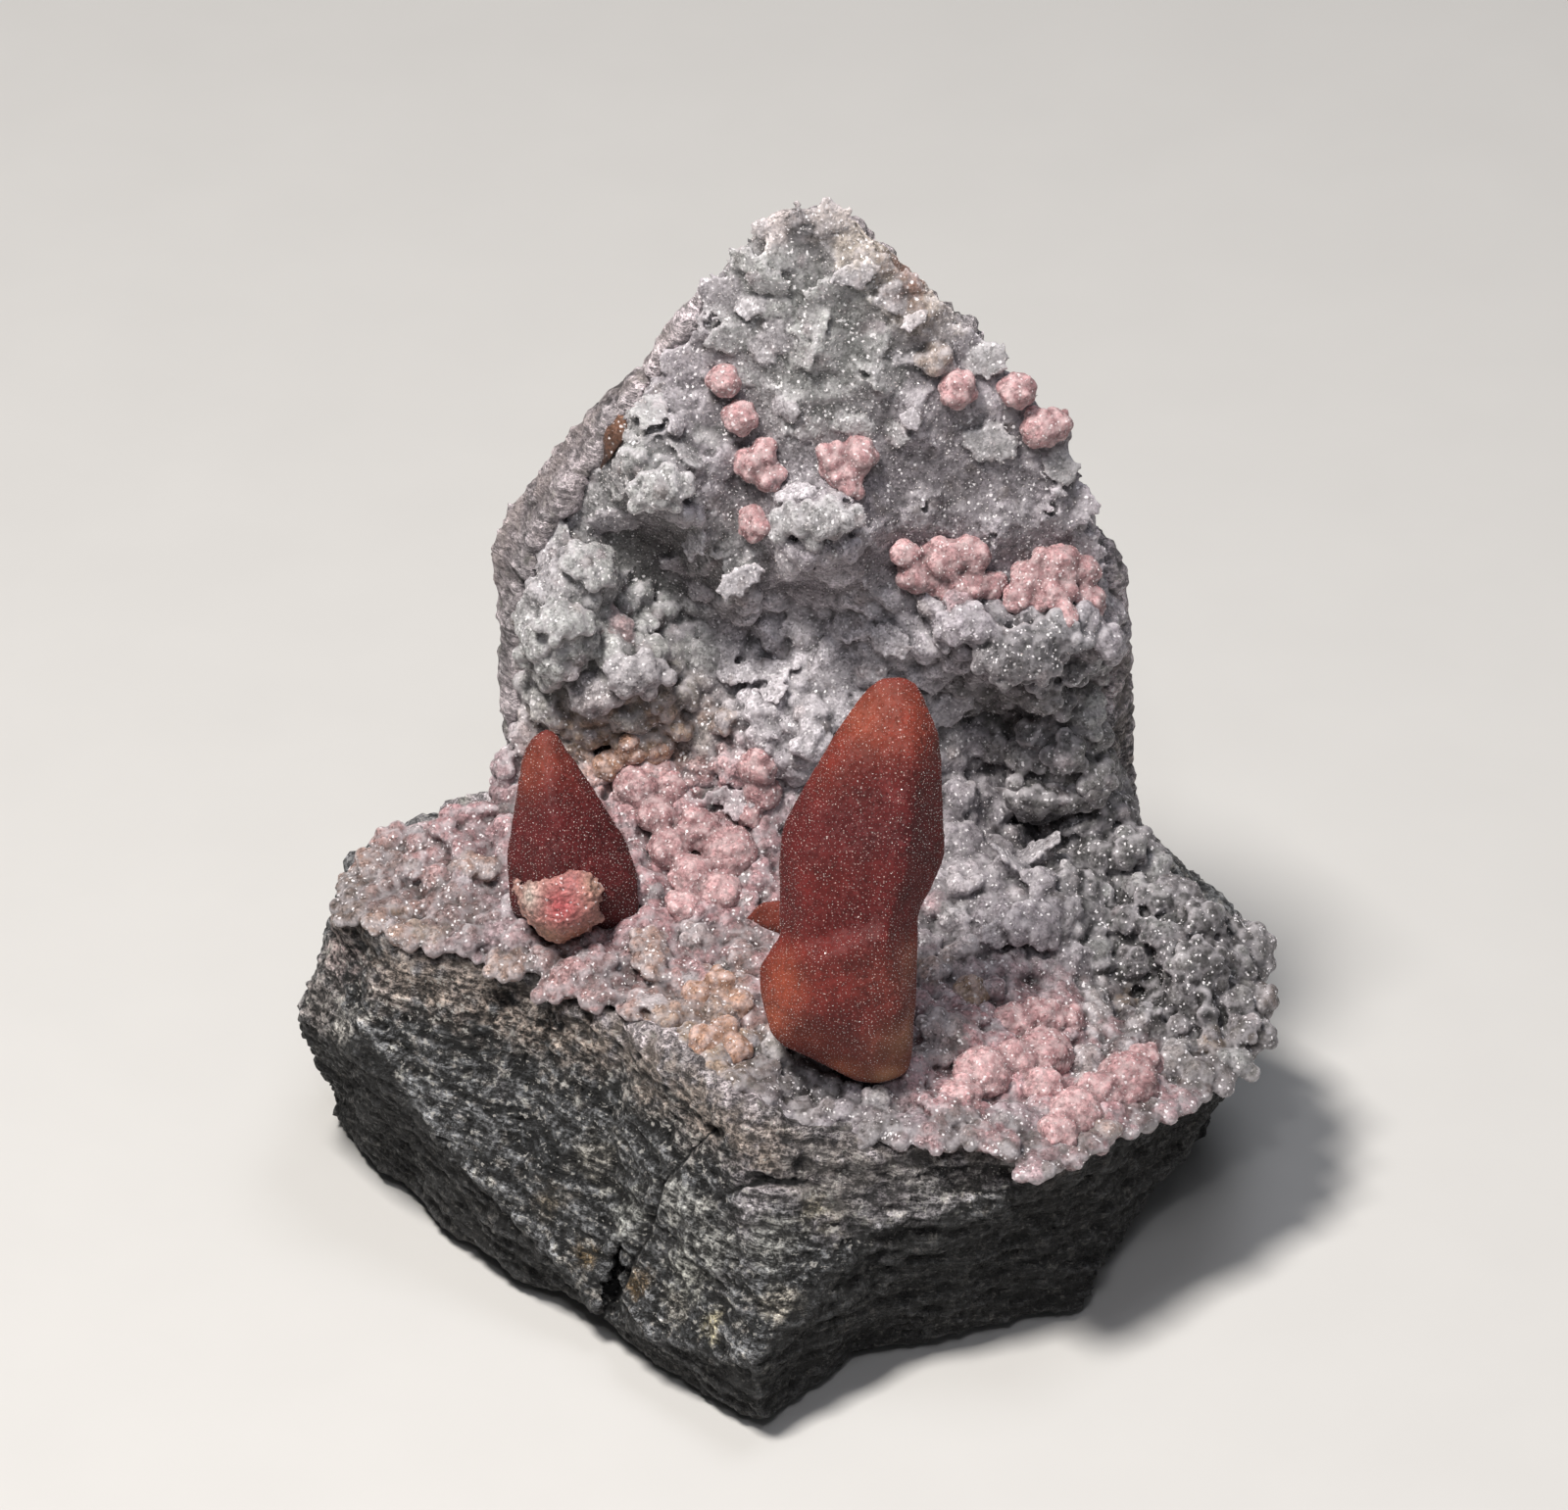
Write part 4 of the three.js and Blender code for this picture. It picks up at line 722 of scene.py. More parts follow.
# Stains that break up the crust's own colour, most of them where it runs out over the rock. The dark
# greys in the right alcove, on the right of the floor and under the tall crystal's foot are painted
# shade, and the pale greys right of the tall crystal are painted light over its shadow
CRUST_STAINS_AND_SHADING = [
    (352, 905, 2.4, "6b605c"), (385, 950, 2.6, "75685f"), (425, 972, 2.4, "6d635e"),
    (470, 985, 2.4, "7d6f64"), (520, 1000, 2.6, "7a6c62"), (570, 1022, 2.4, "6f655f"),
    (625, 1038, 2.6, "7c6e63"), (675, 1072, 2.4, "6f675f"), (720, 1108, 2.6, "78706a"),
    (770, 1140, 2.4, "6d6a6a"), (830, 1160, 2.4, "76706e"), (900, 1160, 2.4, "6d6968"),
    (980, 1155, 2.4, "77706e"), (1050, 1172, 2.4, "6b6766"), (1100, 1170, 2.4, "77706d"),
    (1160, 1128, 2.4, "6e6866"), (1215, 1100, 2.4, "736c69"), (1270, 1070, 1.8, "6a605c"),
    (1290, 1020, 1.8, "6f6460"), (400, 910, 2.6, "8a7474"), (450, 930, 2.4, "866f6e"),
    (345, 930, 1.8, "5e5552"), (1240, 1010, 2.4, "6b6665"), (1210, 1040, 2.0, "625e5e"),
    (1045, 690, 2.2, "68646a"), (1085, 700, 1.8, "5f5d60"), (1060, 730, 1.6, "5a575a"),
    (795, 216, 1.8, "d2c6c4"), (850, 215, 1.8, "cfc4c0"), (818, 230, 1.4, "3a3c40"),
    (838, 240, 1.2, "54545a"), (882, 245, 1.8, "cbbfb2"), (905, 270, 1.5, "b3a198"),
    (932, 290, 1.7, "9a7468"), (953, 302, 1.0, "ddd5d0"), (976, 332, 1.4, "d6ccc8"),
    (1030, 640, 3.0, "807c80"), (1090, 650, 3.0, "77757a"), (1130, 870, 2.6, "74706f"),
    (1180, 880, 3.0, "7b7675"), (1150, 930, 3.0, "686565"), (1210, 930, 3.0, "6f6b6a"),
    (1170, 985, 3.0, "565454"), (1240, 980, 3.0, "605c5c"), (1120, 900, 2.4, "6c6868"),
    (1180, 1040, 2.6, "565454"), (1250, 1040, 2.6, "5a5654"), (760, 960, 2.4, "8c7a78"),
    (740, 1010, 2.6, "8c7468"), (820, 1130, 2.4, "6c6664"), (760, 1110, 2.2, "6f6762"),
    (400, 880, 2.6, "8c7a76"), (480, 930, 2.4, "85706e"), (360, 890, 2.0, "736662"),
    (560, 990, 2.2, "8c7474"), (620, 1000, 2.4, "857070"), (789, 243, 0.3, "6b4f30"),
    (1140, 760, 1.4, "7d6e66"), (1165, 835, 1.5, "8d7c72"), (1200, 868, 1.4, "bba8a2"),
    (1240, 895, 1.4, "b39c98"), (1150, 800, 1.2, "86766c"), (790, 224, 2.2, "dccfcd"),
    (855, 224, 2.0, "d8ccc8"), (818, 236, 1.5, "34363a"), (875, 250, 1.8, "d2c6bc"),
    (1050, 660, 3.4, "545255"), (1090, 690, 3.0, "525053"), (1060, 760, 3.4, "5a595c"),
    (1060, 830, 3.4, "504f52"), (1120, 860, 3.4, "504e50"), (1190, 880, 3.2, "5a5657"),
    (1200, 950, 3.6, "4c4a4c"), (1160, 960, 3.4, "444244"), (1230, 1020, 3.6, "444244"),
    (1180, 1030, 3.4, "3a3839"), (1250, 960, 3.2, "565253"), (1110, 920, 3.0, "545254"),
    (1150, 1080, 2.6, "5e5a5a"), (830, 1110, 2.6, "5e5757"), (770, 1090, 2.4, "645b58"),
    (860, 1090, 2.4, "6a6262"), (900, 1000, 2.0, "8a8283"), (975, 955, 2.6, "d6cdd2"),
    (985, 905, 2.4, "cdc4ca"), (985, 1010, 2.4, "cbbfc2"),
]


def facets_of(mesh):
    """The corners, normals and areas of a mesh's triangles."""
    mesh.calc_loop_triangles()
    count = len(mesh.loop_triangles)
    corners, normals, areas = np.empty(count * 3, int), np.empty(count * 3), np.empty(count)
    mesh.loop_triangles.foreach_get("vertices", corners)
    mesh.loop_triangles.foreach_get("normal", normals)
    mesh.loop_triangles.foreach_get("area", areas)
    points, _, _ = arrays(mesh)
    return points[corners.reshape(-1, 3)], normals.reshape(-1, 3), areas


def exposed(node, clear):
    """The triangles of a solid that look out into the open."""
    corners, normals, areas = facets_of(mesh_of(solid(node)))
    others = [found for name, found in solids.items() if name != node]
    free = np.ones(len(areas), bool)
    for index, normal in enumerate(normals):
        start = Vector(corners[index].mean(0) + normal * 0.02)
        free[index] = all(other.ray_cast(start, Vector(normal), clear)[0] is None for other in others)
    return corners[free], normals[free], areas[free]


def scattered(facets, spacing, tries, seed):
    """Points spread over triangles, none nearer to another than its spacing; with their normals."""
    corners, normals, areas = facets
    chances = np.random.default_rng(seed)
    picks = chances.choice(len(areas), tries, p=areas / areas.sum())
    s, t = chances.random((2, tries, 1))
    s, t = np.where(s + t > 1, 1 - s, s), np.where(s + t > 1, 1 - t, t)
    a, b, c = corners[picks, 0], corners[picks, 1], corners[picks, 2]
    places = a + (b - a) * s + (c - a) * t
    gaps = np.broadcast_to(spacing(places), tries)
    cells = np.floor(places / gaps.max()).astype(int)
    grid, kept = {}, []
    around = [(i, j, k) for i in (-1, 0, 1) for j in (-1, 0, 1) for k in (-1, 0, 1)]
    rows = zip(places.tolist(), (gaps**2).tolist(), cells.tolist())
    for index, (place, gap, (u, v, w)) in enumerate(rows):
        x, y, z = place
        near = (q for i, j, k in around for q in grid.get((u + i, v + j, w + k), ()))
        if all((x - q[0]) ** 2 + (y - q[1]) ** 2 + (z - q[2]) ** 2 > gap for q in near):
            grid.setdefault((u, v, w), []).append(place)
            kept.append(index)
    return places[kept], normals[picks[kept]]


def level(places):
    """How high places stand along the view's up direction, in mm."""
    return np.asarray(places) @ np.array(UP)


def upper_wall(places):
    """Above the alcoves the wall is flat, and its growth is finer."""
    return level(places) > ALCOVE_TOPS


def outward(place, normal):
    """In the alcoves and on the floor, lumps lean out towards the open side of the hollow."""
    lean = 0.1 if upper_wall(place) or normal[2] > 0.6 else 0.6
    return (Vector(normal) - AWAY * lean).normalized()


def lobe(across, along, out, thick):
    """The turn and squash of a lobe that is thin along the way it faces."""
    return np.array([across, along, out * thick]).T


def overgrown(body, lobes, tints, voxel, ragged, hidden=None):
    """A body and its lobes as one skin, with its tint, its pale rims for painted light and its shelter
    for painted shade at each point; hidden says which of its points don't show, where it may be thinned."""
    tops, turns, sizes = lobes
    mesh = fused(together(body, strewn(ball, tops, turns, sizes)), voxel)
    if hidden:
        points, _, _ = arrays(mesh)
        mesh = thinned(mesh, hidden(points))
    points, normals, edges = arrays(mesh)
    worn = 0.13 * rough(points, 0.75, 3, seed=31) - 0.10 * np.abs(rough(points, 0.45, 2, seed=32))
    points = points + normals * (worn * ragged)[:, None]
    mesh = moved(mesh, points)
    _, normals, _ = arrays(mesh)
    nearest = KDTree(len(tops))
    for index, top in enumerate(tops):
        nearest.insert(top, index)
    nearest.balance()
    found = np.array([[hit[1] for hit in nearest.find_n(point, 7)] for point in points])
    # A rim is the outer edge of the lobe whose skin is nearest, on the side that it faces
    away = points[:, None] - tops[found]
    outs = turns[:, :, 2]
    thick = np.linalg.norm(outs, axis=1)
    outs = outs / thick[:, None]
    height = (away * outs[found]).sum(2)
    wide = np.sqrt(np.maximum((away**2).sum(2) - height**2, 0))
    gap = np.abs(np.sqrt(wide**2 + (height / thick[found]) ** 2) - sizes[found])
    rows, closest = np.arange(len(points)), gap.argmin(1)
    mine = found[rows, closest]
    reach = (wide / sizes[found])[rows, closest]
    rim = np.clip((reach - 0.58) / 0.27, 0, 1) * (gap.min(1) < 0.12) * (height[rows, closest] > -0.1)
    # Tints blend over the nearest lobes; shelter is how far a point stands out of its surroundings,
    # which the finish turns into painted shade
    share = 1 / (gap + 0.04) ** 2
    blended = (share[:, :, None] * tints[found]).sum(1) / share.sum(1)[:, None]
    fine = ((points - faired(points, edges, 5)) * normals).sum(1) / 0.06
    broad = ((points - faired(points, edges, 35)) * normals).sum(1) / 0.3
    attribute(mesh, "tint", 0.5 * blended + 0.5 * tints[mine])
    # Painted light on the lobes' rims and on small bumps
    rim = faired(rim, edges, 1)[:, 0] * 0.8 + np.clip(fine - 0.4, 0, 1) * 0.5
    attribute(mesh, "rim", np.clip(rim, 0, 1))
    attribute(mesh, "shelter", broad)
    return mesh


plate = bmesh.new()
bmesh.ops.create_cone(plate, cap_ends=True, segments=18, radius1=0.7, radius2=1, depth=1)
bmesh.ops.triangulate(plate, faces=plate.faces)
plate = mesh_of(plate)
chance = random.Random(11)
lumps = []
for x, y, wide, high, turn, rise, tint in LUMPS:
    place, normal = seen([solids["quartz_crust"]], x, y)
    if place is not None:
        rise *= 0.7 if upper_wall(place) and rise < 0.9 else 1
        size = (wide * PIXEL, high * PIXEL)
        lumps.append((place, outward(place, normal), *size, math.radians(turn), rise, tint))
known = len(lumps)
open_faces = exposed("quartz_crust", 1.6)
middle, leans = open_faces[0].mean(1), open_faces[1]
brink = (level(middle) < FLOOR_EDGE) & (leans[:, 2] < 0.3)
edge = np.where(upper_wall(middle), turned(leans) > -0.3, brink)
open_faces = [part[~edge] for part in open_faces]
for place, normal in zip(*scattered(open_faces, lambda p: np.where(upper_wall(p), *LUMP_GAPS), 8000, 3)):
    place = Vector(place)
    if all((place - lump[0]).length > 0.75 * (lump[2] + lump[3]) / 2 + 0.5 for lump in lumps[:known]):
        size = chance.uniform(0.7, 1.3)
        rise = chance.uniform(0.06, 0.2) if upper_wall(place) else chance.uniform(0.3, 1.0)
        wide, turn = size * chance.uniform(0.9, 1.4), chance.uniform(0, 3.1)
        lumps.append((place, outward(place, normal), wide, size, turn, rise, ""))

middles, flats, cores, tops, turns, sizes, owner = [], [], [], [], [], [], []
for index, (middle, out, wide, high, turn, rise, tint) in enumerate(lumps):
    across = (RIGHT - out * RIGHT.dot(out)).normalized()
    across.rotate(Matrix.Rotation(turn, 3, out))
    along = out.cross(across)
    flat = bool(tint == "w" or upper_wall(middle) and rise < 0.7 and out.dot(AWAY) < -0.5)
    flats.append(flat)
    if flat:
        middles.append(middle + out * (rise - ROOT) / 2)
        core = [across * wide * PLATE_CORE, along * high * PLATE_CORE, out * (rise + ROOT)]
    else:
        middles.append(middle)
        core = [across * wide * DOME_CORE, along * high * DOME_CORE, out * rise]
    cores.append(np.array(core).T)
    small = min(1, (wide + high) / 2)
    count = max(6, int(math.pi * wide * high / ((0.46 if flat else 0.8) * small) ** 2))
    for k in range(count):
        radius = math.sqrt((k + 0.5) / count)
        angle = GOLDEN_ANGLE * k + index
        rim = radius > 0.78
        size = small * chance.uniform(*LOBES[flat])
        thick = (0.4 if rim else 0.2) if flat else (0.8 if rim else 1.0)
        dome = 1 if flat else (0.5 if rim else math.sqrt(1 - 0.8 * radius**2))
        height = rise * dome - size * thick * (0.9 if flat else 0.45)
        spread = across * (wide * math.cos(angle)) + along * (high * math.sin(angle))
        spread *= radius * (chance.uniform(0.86, 1.16) if rim else chance.uniform(0.9, 1.05))
        tops.append(middle + spread + out * (height + chance.uniform(-0.07, 0.07)))
        lean = Vector([chance.gauss(0, 0.08 if flat else 0.22) for _ in range(3)])
        facing = (out + spread * (0.12 / max(wide, high)) + lean).normalized()
        side = facing.cross(along).normalized()
        turns.append(lobe(side, facing.cross(side), facing, thick))
        sizes.append(size)
        owner.append(index)
for place, normal in zip(*scattered(open_faces, lambda p: np.where(upper_wall(p), *LOBE_GAPS), 60000, 5)):
    flat = bool(upper_wall(place))
    size = chance.uniform(*LOOSE_LOBES[flat])
    thick = 0.16 if flat else 1.0
    facing = (Vector(normal) + Vector([chance.gauss(0, 0.2) for _ in range(3)])).normalized()
    side = facing.orthogonal().normalized()
    tops.append(Vector(place - normal * size * thick * (0.75 if flat else 0.4)))
    turns.append(lobe(side, facing.cross(side), facing, thick))
    sizes.append(size)
    owner.append(-1)
middles, flats, cores = np.array(middles), np.array(flats), np.array(cores)
tops, turns, sizes, owner = np.array(tops), np.array(turns), np.array(sizes), np.array(owner)
bed = np.array([solids["host_rock"].find_nearest(Vector(top), 3)[3] or 3 for top in tops])
sizes = sizes * np.where(level(tops) < CORNER, np.clip(0.35 + bed / 1.8, 0.5, 1), 1)

region = np.tile(0.02 * np.array(linear(CRUST_TINTS["l"])[:3]), (len(tops), 1))
weight = np.full((len(tops), 1), 0.02)
for x, y, reach, tint in REGIONS:
    place, _ = seen([solids["quartz_crust"]], x, y)
    if place is not None:
        share = np.exp(-((tops - np.array(place)) ** 2).sum(1) / reach**2)[:, None]
        region += share * np.array(linear(CRUST_TINTS[tint])[:3])
        weight += share
region /= weight
chances = np.random.default_rng(7)
lobe_tints = region.copy()
for index, lump in enumerate(lumps):
    mine = owner == index
    lobe_tints[mine] *= chance.uniform(0.8, 1.2)
    if lump[6]:
        lobe_tints[mine] = 0.4 * region[mine] + 0.6 * np.array(linear(CRUST_TINTS[lump[6]])[:3])
broken = rough(tops, 0.9, 2, seed=14)
lobe_tints = stain(tops, lobe_tints, [solids["quartz_crust"]], CRUST_STAINS_AND_SHADING, broken)
lobe_tints *= chances.uniform(0.84, 1.14, len(tops))[:, None]
lobe_tints *= np.where(level(tops) > CORNER, 0.92, 0.72)[:, None]

core = after(mesh_of(solid("quartz_crust")), "REMESH", mode="VOXEL", voxel_size=0.5)
core_points, _, core_edges = arrays(core)
smooth = faired(core_points, core_edges, 25)
flat_share = np.clip((level(core_points) - FLAT_FROM) / 4, 0, 1)[:, None]
core = moved(core, faired(core_points, core_edges, 3) * (1 - flat_share) + smooth * flat_share)
core_points, core_normals, core_edges = arrays(core)
side_on = np.clip((turned(core_normals) + 0.5) / 0.4, 0.2, 1)
knobs = 0.45 * side_on * (rough(core_points, 1.5, 3, seed=41) - 0.1)
core = moved(core, core_points + core_normals * knobs[:, None])


def half_of(mesh, above):
    """The part of the mesh above the corner of the hollow, or below it, closed where it is cut."""
    made = bmesh.new()
    made.from_mesh(mesh)
    everything = made.verts[:] + made.edges[:] + made.faces[:]
    plane = {"plane_co": UP * CORNER, "plane_no": UP}
    cut = bmesh.ops.bisect_plane(made, geom=everything, clear_inner=above, clear_outer=not above, **plane)
    rim = [edge for edge in cut["geom_cut"] if isinstance(edge, bmesh.types.BMEdge)]
    bmesh.ops.triangle_fill(made, edges=rim, use_dissolve=False, use_beauty=True)
    return mesh_of(made)


def against_rock(points):
    """Where the crust's skin lies on the rock and doesn't show."""
    rock = solids["host_rock"]
    return np.array([(rock.find_nearest(Vector(p), 2)[3] or 2) < HIDDEN_BY for p in points])


def crust_part(above):
    """The crust over the wall, or over the floor: its body, lumps and lobes as one skin."""
    mine = (level(tops) > CORNER) == above
    main = (level(middles) > CORNER) == above
    domes, plates = main & ~flats, main & flats
    body = together(
        half_of(core, above),
        strewn(ball, middles[domes], cores[domes], np.ones(domes.sum())),
        strewn(plate, middles[plates], cores[plates], np.ones(plates.sum())),
    )
    lobes = (tops[mine], turns[mine], sizes[mine])
    return overgrown(body, lobes, lobe_tints[mine], CRUST_VOXEL, 0.45 if above else 0.38, against_rock)


def sugared(name, rim_colour, grain, glow, uneven, rims):
    """A druse or a sugary skin: small faces packed close, each a little lighter or darker, with painted
    light at thin rims and on small bumps, painted shade in shelter, and here and there one painted
    near-white as a glint. Sizes are in metres."""
    finish, tree, surface = material(name)
    where = add(tree, "TexCoord", out="Object")
    tint = add(tree, "Attribute", out="Color", attribute_name="tint")
    rim = add(tree, "Attribute", out="Fac", attribute_name="rim")
    shelter = add(tree, "Attribute", out="Fac", attribute_name="shelter")
    patches = 1 / (2.2 * grain)
    cloud = add(tree, "TexNoise", {"Vector": where, "Scale": patches, "Detail": 4.0, "Roughness": 0.7})
    cells = add(tree, "TexVoronoi", {"Vector": where, "Scale": 1 / grain}, "Color")
    cell = add(tree, "SeparateColor", [cells]).node.outputs
    each = add(tree, "MapRange", [cell[0], 0, 1, 1 - uneven, 1 + 0.7 * uneven])
    mottled = add(tree, "MapRange", [cloud, 0.3, 0.7, 0.66, 1.3])
    # Painted shade in sheltered hollows, painted light where the skin stands out
    sunk = add(tree, "MapRange", [shelter, -0.9, 0.6, 0.16, 1.2])
    grained = add(tree, "Math", [each, mottled], operation="MULTIPLY")
    depth = add(tree, "Math", [grained, sunk], operation="MULTIPLY")
    body = add(tree, "VectorMath", {0: tint, 3: depth}, operation="SCALE")
    # Pale rims are painted light, dimmed in shelter
    lifted = add(tree, "MapRange", [shelter, -0.9, 0.4, 0.4, 1.1])
    edge = add(tree, "Math", [rim, lifted], operation="MULTIPLY")
    pale = add(tree, "MapRange", [edge, 0.1, 0.9, 0, rims])
    rimmed = add(tree, "Mix", {0: pale, 6: body, 7: linear(rim_colour)}, 2, data_type="RGBA")
    # Painted glints: a few cells painted near-white
    flash = add(tree, "MapRange", [cell[2], 0.965, 0.975, 0, 1.4 * uneven])
    lit = add(tree, "Mix", {0: flash, 6: rimmed, 7: linear("f2eff2")}, 2, data_type="RGBA")
    tree.links.new(lit, surface.inputs["Base Color"])
    tree.links.new(leaning(tree, cells, 0.6), surface.inputs["Normal"])
    polish = add(tree, "MapRange", [cell[1], 0.8, 0.85, 0.65, 0.3])
    tree.links.new(polish, surface.inputs["Roughness"])
    surface.inputs["IOR"].default_value = 1.54
    surface.subsurface_method = "BURLEY"
    surface.inputs["Subsurface Weight"].default_value = 0.3
    surface.inputs["Subsurface Radius"].default_value = (glow, glow, glow)
    surface.inputs["Subsurface Scale"].default_value = 1.0
    return finish


# Drusy quartz: clear hexagonal points about 0.2 mm across, grown so close that the crust looks
# frosted. Thin edges and tops scatter the light, painted on as pale rims; single faces flash, some painted
# near-white.
druse_finish = sugared("drusy_quartz_frosted", "cbc6cb", 0.00016, 0.0005, 0.5, 0.5)

# Clear quartz points, seen as white grains that flash
POINT_PATCHES = 0.3
point_finish, tree, surface = material("quartz_points_clear")
where = add(tree, "TexCoord", out="Object")
kind = add(tree, "TexNoise", {"Vector": where, "Scale": 1000 / POINT_PATCHES, "Detail": 1.0})
white = add(tree, "MapRange", [kind, 0.35, 0.65])
pale = add(tree, "Mix", {0: white, 6: linear("c4b8b8"), 7: linear("fbf8f8")}, 2, data_type="RGBA")
tree.links.new(pale, surface.inputs["Base Color"])
surface.inputs["Roughness"].default_value = 0.15
surface.inputs["IOR"].default_value = 1.54


def frost(facets, spacing, sizes, tries, seed):
    """Tiny four-sided quartz points strewn over some triangles, each leaning its own way."""
    chances = np.random.default_rng(seed)
    places, up = scattered(facets, spacing, tries, seed)
    up = up + chances.normal(0, 0.35, up.shape)
    up /= np.linalg.norm(up, axis=1)[:, None]
    side = np.cross(up, chances.normal(0, 1, up.shape))
    side /= np.linalg.norm(side, axis=1)[:, None]
    point = bmesh.new()
    bmesh.ops.create_cone(point, cap_ends=True, segments=4, radius1=0.5, radius2=0, depth=1.3)
    bmesh.ops.triangulate(point, faces=point.faces)
    turns = np.stack([side, np.cross(up, side), up], axis=2)
    return strewn(mesh_of(point), places, turns, chances.uniform(*sizes, len(places)))


wall, ground = crust_part(True), crust_part(False)
corners, normals, areas = facets_of(together(wall, ground))
middle = corners.mean(1)
shown = (turned(normals) < 0.35) & (middle[:, 1] < 27)
areas = areas * shown * np.where(upper_wall(middle), 1.0, 0.25)
points = frost((corners, normals, areas), lambda p: np.array(0.22), (0.07, 0.17), 23000, 31)
piece("quartz_crust_points", points, ["quartz_crust"], point_finish, smooth=False)
piece("quartz_crust_wall", wall, ["quartz_crust"], druse_finish)
piece("quartz_crust_floor", ground, ["quartz_crust"], druse_finish)

# Red rhodochrosite crystals
# Two steep crystals of rhodochrosite, deep red where they are thick and painted orange, as light coming
# through, at the thin ends and edges, under a frost of tiny white points that grew over every face.

CRYSTAL_VOXEL = 0.24
TALL_TINTS = [
    (905, 690, 2.4, "a05a3e"), (880, 740, 3.0, "8a4430"), (930, 730, 3.0, "803628"),
    (850, 780, 2.6, "70281d"), (900, 810, 3.0, "5e1a18"), (860, 860, 3.4, "511214"),
    (930, 860, 3.0, "531518"), (900, 905, 2.6, "5c1a1a"), (840, 905, 2.8, "651c1a"),
    (880, 955, 2.8, "521315"), (850, 995, 2.6, "6c221e"), (905, 1000, 2.8, "6e2c26"),
    (930, 985, 1.8, "8a5040"), (800, 1000, 2.2, "94442f"), (790, 1040, 2.0, "9a4e38"),
    (830, 1062, 2.2, "7a362b"), (880, 1072, 2.0, "70302a"), (925, 1060, 2.0, "8e6048"),
    (905, 1098, 1.4, "9c7054"), (865, 1092, 1.5, "90523c"), (772, 920, 1.6, "9c6446"),
]
SHORT_TINTS = [
    (550, 745, 1.8, "9e6450"), (545, 790, 2.4, "803a2c"), (580, 800, 2.2, "6a2522"),
    (560, 840, 2.6, "551618"), (610, 850, 2.2, "501416"), (640, 910, 2.2, "581f20"),
    (635, 950, 1.8, "804a38"), (530, 860, 1.8, "521416"),
]


def crystal(node, spots, base, voxel=CRYSTAL_VOXEL, waves=0.07, grit=0.03, glow=0.35, softened=10):
    """A crystal's frosted body with rounded edges, and the tints that its soft spots give it. Waves
    and grit are the heights of its relief in mm, and glow is how orange its thin parts are painted, as
    painted light coming through them."""
    made = solid(node)
    bmesh.ops.dissolve_limit(made, angle_limit=math.radians(1.5), verts=made.verts, edges=made.edges)
    sharp = [e for e in made.edges if e.is_manifold and e.calc_face_angle() > math.radians(12)]
    rounding = {"offset": 0.5, "offset_type": "OFFSET", "segments": 3, "profile": 0.5, "material": -1}
    bmesh.ops.bevel(made, geom=sharp, affect="EDGES", **rounding)
    bmesh.ops.triangulate(made, faces=made.faces)
    mesh = fused(mesh_of(made), voxel)
    points, normals, edges = arrays(mesh)
    mesh = moved(mesh, faired(points, edges, softened))
    points, normals, edges = arrays(mesh)
    lift = waves * rough(points, 2.4, 2, seed=6) + grit * rough(points, 0.6, 2, seed=8)
    mesh = moved(mesh, points + normals * lift[:, None])
    own = tree_of(mesh)
    inwards = zip(points - normals * 0.15, -normals)
    thick = np.array([own.ray_cast(Vector(start), Vector(way), 8)[3] or 8 for start, way in inwards])
    thick = faired(thick, edges, 20)[:, 0]
    tints = np.tile(np.array(linear(base)[:3]), (len(points), 1))
    tints = stain(points, tints, [own], spots)
    # Painted light: thin parts are painted orange, as if lit through
    thin = np.clip(1 - thick / 4.5, 0, 1)[:, None]
    tints = tints + glow * thin * (np.array(linear("9c5238")[:3]) - tints)
    tints *= (1 + 0.26 * rough(points, 2.0, 3, seed=9))[:, None]
    attribute(mesh, "tint", tints)
    return mesh


# Rhodochrosite: translucent red carbonate, its faces etched and frosted so that they hardly mirror
# anything; light sinks in a millimetre or two and comes back redder.
# The sizes of its cloudy veils, pale specks and etched facets are in mm.
VEILS = 1.8
SPECKS = 0.20
FACETS = 0.22
red_finish, tree, surface = material("rhodochrosite_frosted_red")
where = add(tree, "TexCoord", out="Object")
tint = add(tree, "Attribute", out="Color", attribute_name="tint")
veil = add(tree, "TexNoise", {"Vector": where, "Scale": 1000 / VEILS, "Detail": 5.0, "Roughness": 0.6})
veiled = add(tree, "MapRange", [veil, 0.3, 0.7, 0.74, 1.2])
body = add(tree, "VectorMath", {0: tint, 3: veiled}, operation="SCALE")
specks = add(tree, "TexVoronoi", {"Vector": where, "Scale": 1000 / SPECKS})
some = add(tree, "SeparateColor", [specks.node.outputs["Color"]])
strong = add(tree, "MapRange", [some, 0.55, 1.0, 0, 0.7])
speck = add(tree, "MapRange", [specks, 0.16, 0.3, strong, 0.0])
specked = add(tree, "Mix", {0: speck, 6: body, 7: linear("f0d8d0")}, 2, data_type="RGBA")
tree.links.new(specked, surface.inputs["Base Color"])
tree.links.new(body, surface.inputs["Subsurface Radius"])
surface.subsurface_method = "BURLEY"
surface.inputs["Subsurface Weight"].default_value = 0.5
surface.inputs["Subsurface Scale"].default_value = 0.003
surface.inputs["Roughness"].default_value = 0.7
surface.inputs["Specular IOR Level"].default_value = 0.3
surface.inputs["IOR"].default_value = 1.6
facets = add(tree, "TexVoronoi", {"Vector": where, "Scale": 1000 / FACETS}, "Color")
tree.links.new(leaning(tree, facets, 0.55), surface.inputs["Normal"])

